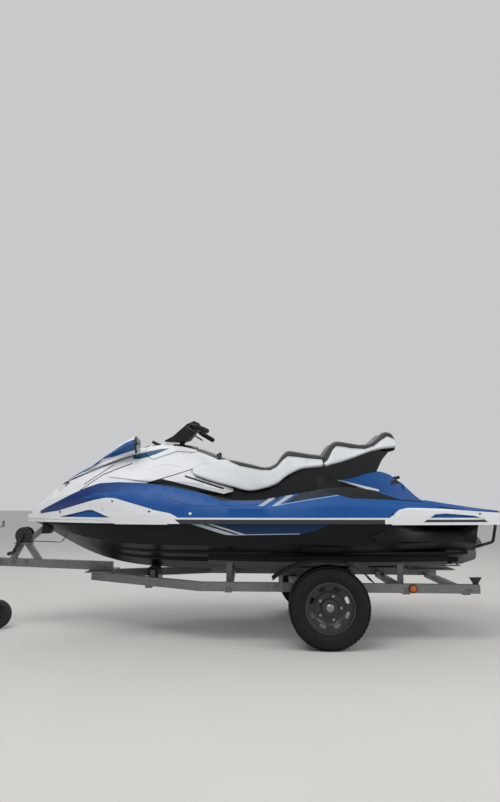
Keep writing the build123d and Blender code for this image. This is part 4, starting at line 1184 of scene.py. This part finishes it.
def fastener_tree():
    """Heads of screws or bolts, one on each point of the host, turned to its facing attribute."""
    tree = Tree("fasteners", {
        "Sides": ("Int", 6),
        "Radius": ("Float", 0.006),
        "Height": ("Float", 0.004),
        "Material": ("Material", None),
    })
    head = tree.add("GeometryNodeMeshCylinder", {
        "Vertices": tree.inputs["Sides"], "Radius": tree.inputs["Radius"], "Depth": tree.inputs["Height"],
    })
    facing = tree.add("GeometryNodeInputNamedAttribute", {0: "facing"}, data_type="FLOAT_VECTOR")
    turned = tree.add("FunctionNodeAlignRotationToVector", {2: facing.outputs[0]}, axis="Z")
    placed = tree.add("GeometryNodeInstanceOnPoints", {
        0: tree.inputs["Geometry"], 2: head.outputs[0], 5: turned.outputs[0],
    })
    return tree.finish(placed.outputs[0], tree.inputs["Material"])


def fasteners(tree, name, body, places, sides, radius, height, material):
    """One piece with a head at each place, given as a point and the way it faces."""
    host = plain_mesh(name, [place for place, _ in places])
    facing = host.attributes.new("facing", "FLOAT_VECTOR", "POINT")
    for item, (_, way) in zip(facing.data, places):
        item.vector = way
    inputs = {"Sides": sides, "Radius": radius, "Height": height, "Material": material}
    piece = link(name, tree.grow(name, host, inputs))
    smooth_shade(piece.data, HEAD_EDGE)
    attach(piece, body)


def both(places):
    """The places, and the same ones on the other side of the centre plane."""
    return places + [((x, -y, z), (a, -b, c)) for (x, y, z), (a, b, c) in places]


# Screws and bolts of the port side: (station, y, height), then the way they face
BUMPER_SCREWS = [
    ((0.326, -0.267, 0.872), (-0.50, -0.87, 0.0)),
    ((0.751, -0.442, 0.951), (-0.30, -0.95, 0.0)),
    ((1.029, -0.507, 0.880), (-0.19, -0.98, 0.05)),
    ((2.730, -0.597, 0.862), (0.03, -1.0, 0.0)),
    ((3.345, -0.554, 0.864), (0.20, -0.98, 0.0)),
]
SPONSON_BOLTS = [
    ((2.629, -0.622, 0.731), (0.12, -0.99, -0.07)),
    ((2.756, -0.605, 0.730), (0.14, -0.99, 0.09)),
    ((2.911, -0.588, 0.716), (0.08, -0.90, 0.43)),
    ((3.043, -0.583, 0.710), (0.03, -0.74, 0.68)),
]
PILOT_OUTLET = [((1.323, -0.545, 0.866), (-0.09, -1.0, 0.0))]
JOINT_STATIONS = (1.591, 2.480, 2.831, 3.250)
JOINT_SPREAD = 0.013
RAIL_FACE = 0.520
RAIL_FALL = 0.00933
RAIL_Z = 0.362
RAIL_LEVEL = 1.4
DRAWBAR_BOLTS = [
    (0.560, -0.030, 0.452), (0.620, -0.030, 0.449), (0.010, -0.030, 0.484), (-0.090, -0.030, 0.489),
]


def at_stations(places):
    """The places with their stations turned into X."""
    return both([((u + BOW, y, z), way) for (u, y, z), way in places])


def rail_bolts():
    """Two bolts through the rail at each cross member, and two pairs through the drawbar."""
    places = []
    for station in JOINT_STATIONS:
        for step in (-JOINT_SPREAD, JOINT_SPREAD):
            u = station + step
            places.append((u, -RAIL_FACE, RAIL_Z - (u - RAIL_LEVEL) * RAIL_FALL))
    return [(place, (0, -1, 0)) for place in places + DRAWBAR_BOLTS]


class CRAFT_OT_fasteners(CraftOperator, bpy.types.Operator):
    """Put in the screws of the bumpers, the bolts of the sponsons and the trailer, and the grips' ribs"""

    bl_idname = "craft.fasteners"
    bl_label = "Screws and bolts"

    def execute(self, context):
        tree = fastener_tree()
        black = moulded_plastic("screw_black", paint("#0E0F10"), 0.4)
        white = moulded_plastic("outlet_white", colours().white, 0.35)
        steel = cast_metal("bolt_zinc", paint("#6E7072"), 0.45)
        screw = sizes().screw
        rows = (
            ("bumper_screws", "trim_black", BUMPER_SCREWS, 16, screw, 0.004, black),
            ("sponson_bolts", "trim_black", SPONSON_BOLTS, 16, screw, 0.004, black),
            ("pilot_outlet", "gelcoat_white", PILOT_OUTLET, 24, 0.010, 0.006, white),
            ("trailer_bolts", "galvanised", rail_bolts(), 6, 0.010, 0.014, steel),
        )
        for name, slot, places, sides, radius, height, material in rows:
            fasteners(tree, name, "root", at_stations(places), sides, radius, height, material)
        rubber = soft_rubber("rib_rubber", paint("#141516"))
        ribs = at_stations(grip_ribs())
        fasteners(tree, "grip_ribs", "handlebar", ribs, 32, RIB_RADIUS, RIB_LENGTH, rubber)
        return {"FINISHED"}


# Grips: station, y and height of both ends of the port side's bar, and the share of it that has ribs
GRIP_START = Vector((1.282, -0.190, 1.536))
GRIP_END = Vector((1.412, -0.352, 1.470))
GRIP_REACH = (0.42, 1.0)
RIBS = 22
RIB_RADIUS = 0.0194
RIB_LENGTH = 0.0022


def grip_ribs():
    """The places of the ribs round both grips."""
    along = GRIP_END - GRIP_START
    first, last = GRIP_REACH
    shares = [first + (last - first) * i / (RIBS - 1) for i in range(RIBS)]
    return [(tuple(GRIP_START + along * share), tuple(along.normalized())) for share in shares]


# Side marker lamps: profiles as (offset outwards, radius)
LAMP_STATION = 2.865
LAMP_ROUND = 48
LAMP_Z = 0.355
LENS_PROFILE = [
    (0.004, ON_AXIS), (0.004, 0.024), (0.012, 0.024), (0.018, 0.019), (0.0205, 0.010), (0.021, ON_AXIS),
]
LAMP_RING = [
    (0.0, ON_AXIS), (0.0, 0.029), (0.010, 0.029), (0.012, 0.0275),
    (0.012, 0.024), (0.004, 0.024), (0.004, ON_AXIS),
]

# Wheels: profiles as (offset outwards, radius)
WHEEL_X = 0.802
WHEEL_Y = 0.700
WHEEL_Z = 0.266
TYRE_WALL = 0.250
TYRE_ROUND = 120
RIM_ROUND = 96
CAP_ROUND = 48
TYRE_PROFILE = [
    (0.060, 0.165), (0.070, 0.180), (0.0715, 0.196), (0.0735, 0.199), (0.0740, 0.222), (0.0720, 0.238),
    (0.0640, 0.252), (0.0500, 0.2585), (0.0000, 0.2595), (-0.0500, 0.2585), (-0.0640, 0.252),
    (-0.0720, 0.238), (-0.0740, 0.222), (-0.0735, 0.199), (-0.0715, 0.196), (-0.070, 0.180),
    (-0.060, 0.165),
]
RIM_PROFILE = [
    (-0.064, 0.157), (-0.064, 0.165), (0.064, 0.165), (0.066, 0.160), (0.064, 0.153), (0.034, 0.151),
    (0.030, 0.143), (0.031, 0.112), (0.020, 0.094), (0.020, 0.060), (0.044, 0.054), (0.044, 0.018),
    (-0.060, 0.018), (-0.060, 0.044), (0.010, 0.050), (0.010, 0.094), (0.021, 0.114), (0.024, 0.157),
]
CAP_PROFILE = [(0.040, ON_AXIS), (0.040, 0.027), (0.058, 0.026), (0.063, 0.020), (0.065, ON_AXIS)]
SLOTS = 8
SLOT_RING = 0.124
SLOT_LONG = 0.012
SLOT_WIDE = 0.012
SLOT_DEPTH = 0.058
SLOT_ROUND = 20
NUTS = 5
NUT_RING = 0.076
NUT_SEAT = 0.027
NUT_RADIUS = 0.0105
NUT_HEIGHT = 0.016
TREAD_ROWS = (-0.049, -0.0245, 0.0, 0.0245, 0.049)
TREAD_COUNT = 58
TREAD_ROOT = 0.002
TREAD_BLOCK = (0.0235, 0.020)
TREAD_CLEAR = 0.0005


def slot_cutter(centre, side):
    """The round-ended bars that cut the openings of a rim."""
    cutter = bmesh.new()
    for k in range(SLOTS):
        angle = 2 * math.pi * (k + 0.5) / SLOTS
        out = Vector((math.cos(angle), 0, math.sin(angle)))
        along = Vector((-math.sin(angle), 0, math.cos(angle)))
        loops = []
        for offset in (0.0, SLOT_DEPTH):
            middle = Vector(centre) + out * SLOT_RING + Vector((0, side * offset, 0))
            loop = []
            for i in range(SLOT_ROUND):
                turn = 2 * math.pi * (i + 0.5) / SLOT_ROUND
                reach = SLOT_WIDE * math.cos(turn) + math.copysign(SLOT_LONG, math.cos(turn))
                loop.append(cutter.verts.new(middle + along * reach + out * (SLOT_WIDE * math.sin(turn))))
            loops.append(loop)
        first, last = loops
        cutter.faces.new(first)
        cutter.faces.new(last)
        for i in range(SLOT_ROUND):
            j = (i + 1) % SLOT_ROUND
            cutter.faces.new((first[i], first[j], last[j], last[i]))
    bmesh.ops.recalc_face_normals(cutter, faces=cutter.faces)
    mesh = bpy.data.meshes.new("slots")
    cutter.to_mesh(mesh)
    cutter.free()
    return link("slots", mesh)


def tread_tree():
    """Rows of tread blocks round a tyre: a row for each point of the host, turned by its attribute."""
    tree = Tree("tread", {
        "Blocks": ("Int", TREAD_COUNT),
        "Radius": ("Float", WHEEL_Z),
        "Block": ("Vector", (*TREAD_BLOCK, TREAD_ROOT)),
        "Material": ("Material", None),
    })
    block = tree.add("GeometryNodeMeshCube", {"Size": tree.inputs["Block"]})
    lift = tree.add("ShaderNodeCombineXYZ", {2: tree.inputs["Radius"]})
    raised = tree.add("GeometryNodeTransform", {0: block.outputs[0], "Translation": lift.outputs[0]})
    copies = tree.add("GeometryNodeDuplicateElements", {
        "Geometry": tree.inputs["Geometry"], "Amount": tree.inputs["Blocks"],
    }, domain="POINT")
    step = tree.add("ShaderNodeMath", {0: 2 * math.pi, 1: tree.inputs["Blocks"]}, operation="DIVIDE")
    start = tree.add("GeometryNodeInputNamedAttribute", {0: "start"}, data_type="FLOAT")
    share = tree.add("ShaderNodeMath", {0: copies.outputs[1], 1: start.outputs[0]}, operation="ADD")
    angle = tree.add("ShaderNodeMath", {0: share.outputs[0], 1: step.outputs[0]}, operation="MULTIPLY")
    turn = tree.add("ShaderNodeCombineXYZ", {1: angle.outputs[0]})
    placed = tree.add("GeometryNodeInstanceOnPoints", {
        0: copies.outputs[0], 2: raised.outputs[0], 5: turn.outputs[0],
    })
    return tree.finish(placed.outputs[0], tree.inputs["Material"])


def make_rim(name, centre, side, material):
    """A rim with its ring of openings, as one mesh."""
    whole = lathe(name + "_whole", RIM_PROFILE, centre, side, RIM_ROUND, material)
    cutter = slot_cutter(centre, side)
    cut = whole.modifiers.new("openings", "BOOLEAN")
    cut.operation = "DIFFERENCE"
    cut.solver = "EXACT"
    cut.object = cutter
    mesh = evaluated_mesh(whole, name)
    bpy.data.objects.remove(cutter)
    return link(name, mesh)


class CRAFT_OT_wheels(CraftOperator, bpy.types.Operator):
    """Make the tyres with their tread, and the rims with their openings, nuts and hub caps"""

    bl_idname = "craft.wheels"
    bl_label = "Wheels"

    def execute(self, context):
        m = metal_colours()
        rubber = tyre_rubber(m.rubber)
        steel = painted_steel("rim_steel", m.rim, 0.35)
        zinc_nut = cast_metal("wheel_nut", paint("#8C8F91"), 0.3)
        tread = tread_tree()
        heads = fastener_tree()
        block = sizes().tread + TREAD_ROOT
        for side, word in SIDES:
            body = "wheel_" + word
            centre = (WHEEL_X, side * WHEEL_Y, WHEEL_Z)
            carcass = lathe("tyre_wall_" + word, TYRE_PROFILE, centre, side, TYRE_ROUND, rubber)
            rows = [(WHEEL_X, centre[1] + row, WHEEL_Z) for row in TREAD_ROWS]
            host = plain_mesh("tread_" + word, rows)
            start = host.attributes.new("start", "FLOAT", "POINT")
            for i, item in enumerate(start.data):
                item.value = i % 2 / 2
            blocks = tread.grow("tyre_tread_" + word, host, {
                "Blocks": TREAD_COUNT,
                "Radius": WHEEL_Z - block / 2 - TREAD_CLEAR,
                "Block": (*TREAD_BLOCK, block),
                "Material": rubber,
            })
            tread_piece = link("tyre_tread_" + word, blocks)
            rim = make_rim("rim_disc_" + word, centre, side, steel)
            cap = lathe("hub_cap_" + word, CAP_PROFILE, centre, side, CAP_ROUND, zinc_nut)
            for piece in (carcass, tread_piece, rim, cap):
                smooth_shade(piece.data)
                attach(piece, body)
            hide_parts("tyre_" + word)
            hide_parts("rim_" + word)
            seat = side * (WHEEL_Y + NUT_SEAT)
            places = [(on_circle(i, NUTS, NUT_RING, centre, seat), (0, side, 0)) for i in range(NUTS)]
            nuts = "wheel_nuts_" + word
            fasteners(heads, nuts, body, places, 6, NUT_RADIUS, NUT_HEIGHT, zinc_nut)
        return {"FINISHED"}


# Stage

SENSOR_WIDTH = 36
FLOOR_REACH = 40
DAYLIGHT = 0.75

# Lamps: name, place, the point that it is aimed at, breadth and power
LAMPS = (
    ("key", (-1.5, -3.6, 6.5), (0.2, 0, 0.8), 5.0, 230),
    ("fill", (4.5, -3.0, 3.0), (0.2, 0, 0.7), 3.0, 60),
    ("rim", (0.5, 5.0, 5.5), (0.2, 0, 0.8), 5.0, 90),
)


def area_lamp(name, place, target, size, power):
    """A soft lamp, aimed at a point."""
    lamp = bpy.data.lights.new(name, "AREA")
    lamp.shape = "DISK"
    lamp.size = size
    lamp.energy = power
    holder = link(name, lamp)
    holder.location = place
    holder.rotation_euler = (Vector(target) - Vector(place)).to_track_quat("-Z", "Y").to_euler()


class CRAFT_OT_stage(CraftOperator, bpy.types.Operator):
    """Set the camera, the lamps and the floor"""

    bl_idname = "craft.stage"
    bl_label = "Stage"

    def execute(self, context):
        scene = bpy.context.scene
        stage = scene.stage_settings
        lens = bpy.data.cameras.new("camera")
        lens.lens = stage.lens
        lens.sensor_width = SENSOR_WIDTH
        camera = link("camera", lens)
        camera.location = (stage.camera_station + BOW, -stage.camera_distance, stage.camera_height)
        camera.rotation_euler = (math.pi / 2 + stage.pitch, 0, 0)
        scene.camera = camera
        corners = [(x * FLOOR_REACH, y * FLOOR_REACH, 0) for x, y in ((-1, -1), (1, -1), (1, 1), (-1, 1))]
        mesh = plain_mesh("floor", corners, [(0, 1, 2, 3)])
        finish = Finish("floor", stage.floor, 0.85)
        finish.vary(finish.noise(1.5, 4.0), 0.03)
        mesh.materials.append(finish.done())
        floor = link("floor", mesh)
        for lamp in LAMPS:
            area_lamp(*lamp)
        world = bpy.data.worlds.new("studio")
        world.use_nodes = True
        sky = world.node_tree.nodes["Background"]
        sky.inputs["Color"].default_value = (*paint("#E4E5E6"), 1)
        sky.inputs["Strength"].default_value = DAYLIGHT
        scene.world = world
        scene.view_settings.view_transform = "Standard"
        return {"FINISHED"}


STEPS = ("gelcoat", "trim", "jet_pump", "trailer", "seats", "gunwale", "fasteners", "wheels", "stage")


class CRAFT_PT_panel(bpy.types.Panel):
    """The pieces in the order in which they are made"""

    bl_idname = "CRAFT_PT_panel"
    bl_label = "Watercraft"
    bl_space_type = "VIEW_3D"
    bl_region_type = "UI"
    bl_category = "Watercraft"

    def draw(self, context):
        for step in STEPS:
            self.layout.operator("craft." + step)
        for group in ("craft_colours", "trailer_colours", "fitting_sizes", "stage_settings"):
            box = self.layout.box()
            settings = getattr(context.scene, group)
            for name in settings.__annotations__:
                box.prop(settings, name)


GROUPS = {
    "craft_colours": CraftColours,
    "trailer_colours": TrailerColours,
    "fitting_sizes": FittingSizes,
    "stage_settings": StageSettings,
}
CLASSES = (
    CRAFT_OT_gelcoat,
    CRAFT_OT_trim,
    CRAFT_OT_jet_pump,
    CRAFT_OT_trailer,
    CRAFT_OT_seats,
    CRAFT_OT_gunwale,
    CRAFT_OT_fasteners,
    CRAFT_OT_wheels,
    CRAFT_OT_stage,
    CRAFT_PT_panel,
)


def register():
    """Register the settings, the operators and the panel."""
    for name, group in GROUPS.items():
        bpy.utils.register_class(group)
        setattr(bpy.types.Scene, name, bpy.props.PointerProperty(type=group))
    for kind in CLASSES:
        bpy.utils.register_class(kind)


def unregister():
    """Take the panel, the operators and the settings out again."""
    for kind in reversed(CLASSES):
        bpy.utils.unregister_class(kind)
    for name, group in GROUPS.items():
        delattr(bpy.types.Scene, name)
        bpy.utils.unregister_class(group)


def main():
    """Make every piece."""
    register()
    for step in STEPS:
        getattr(bpy.ops.craft, step)()


if __name__ == "__main__":
    main()
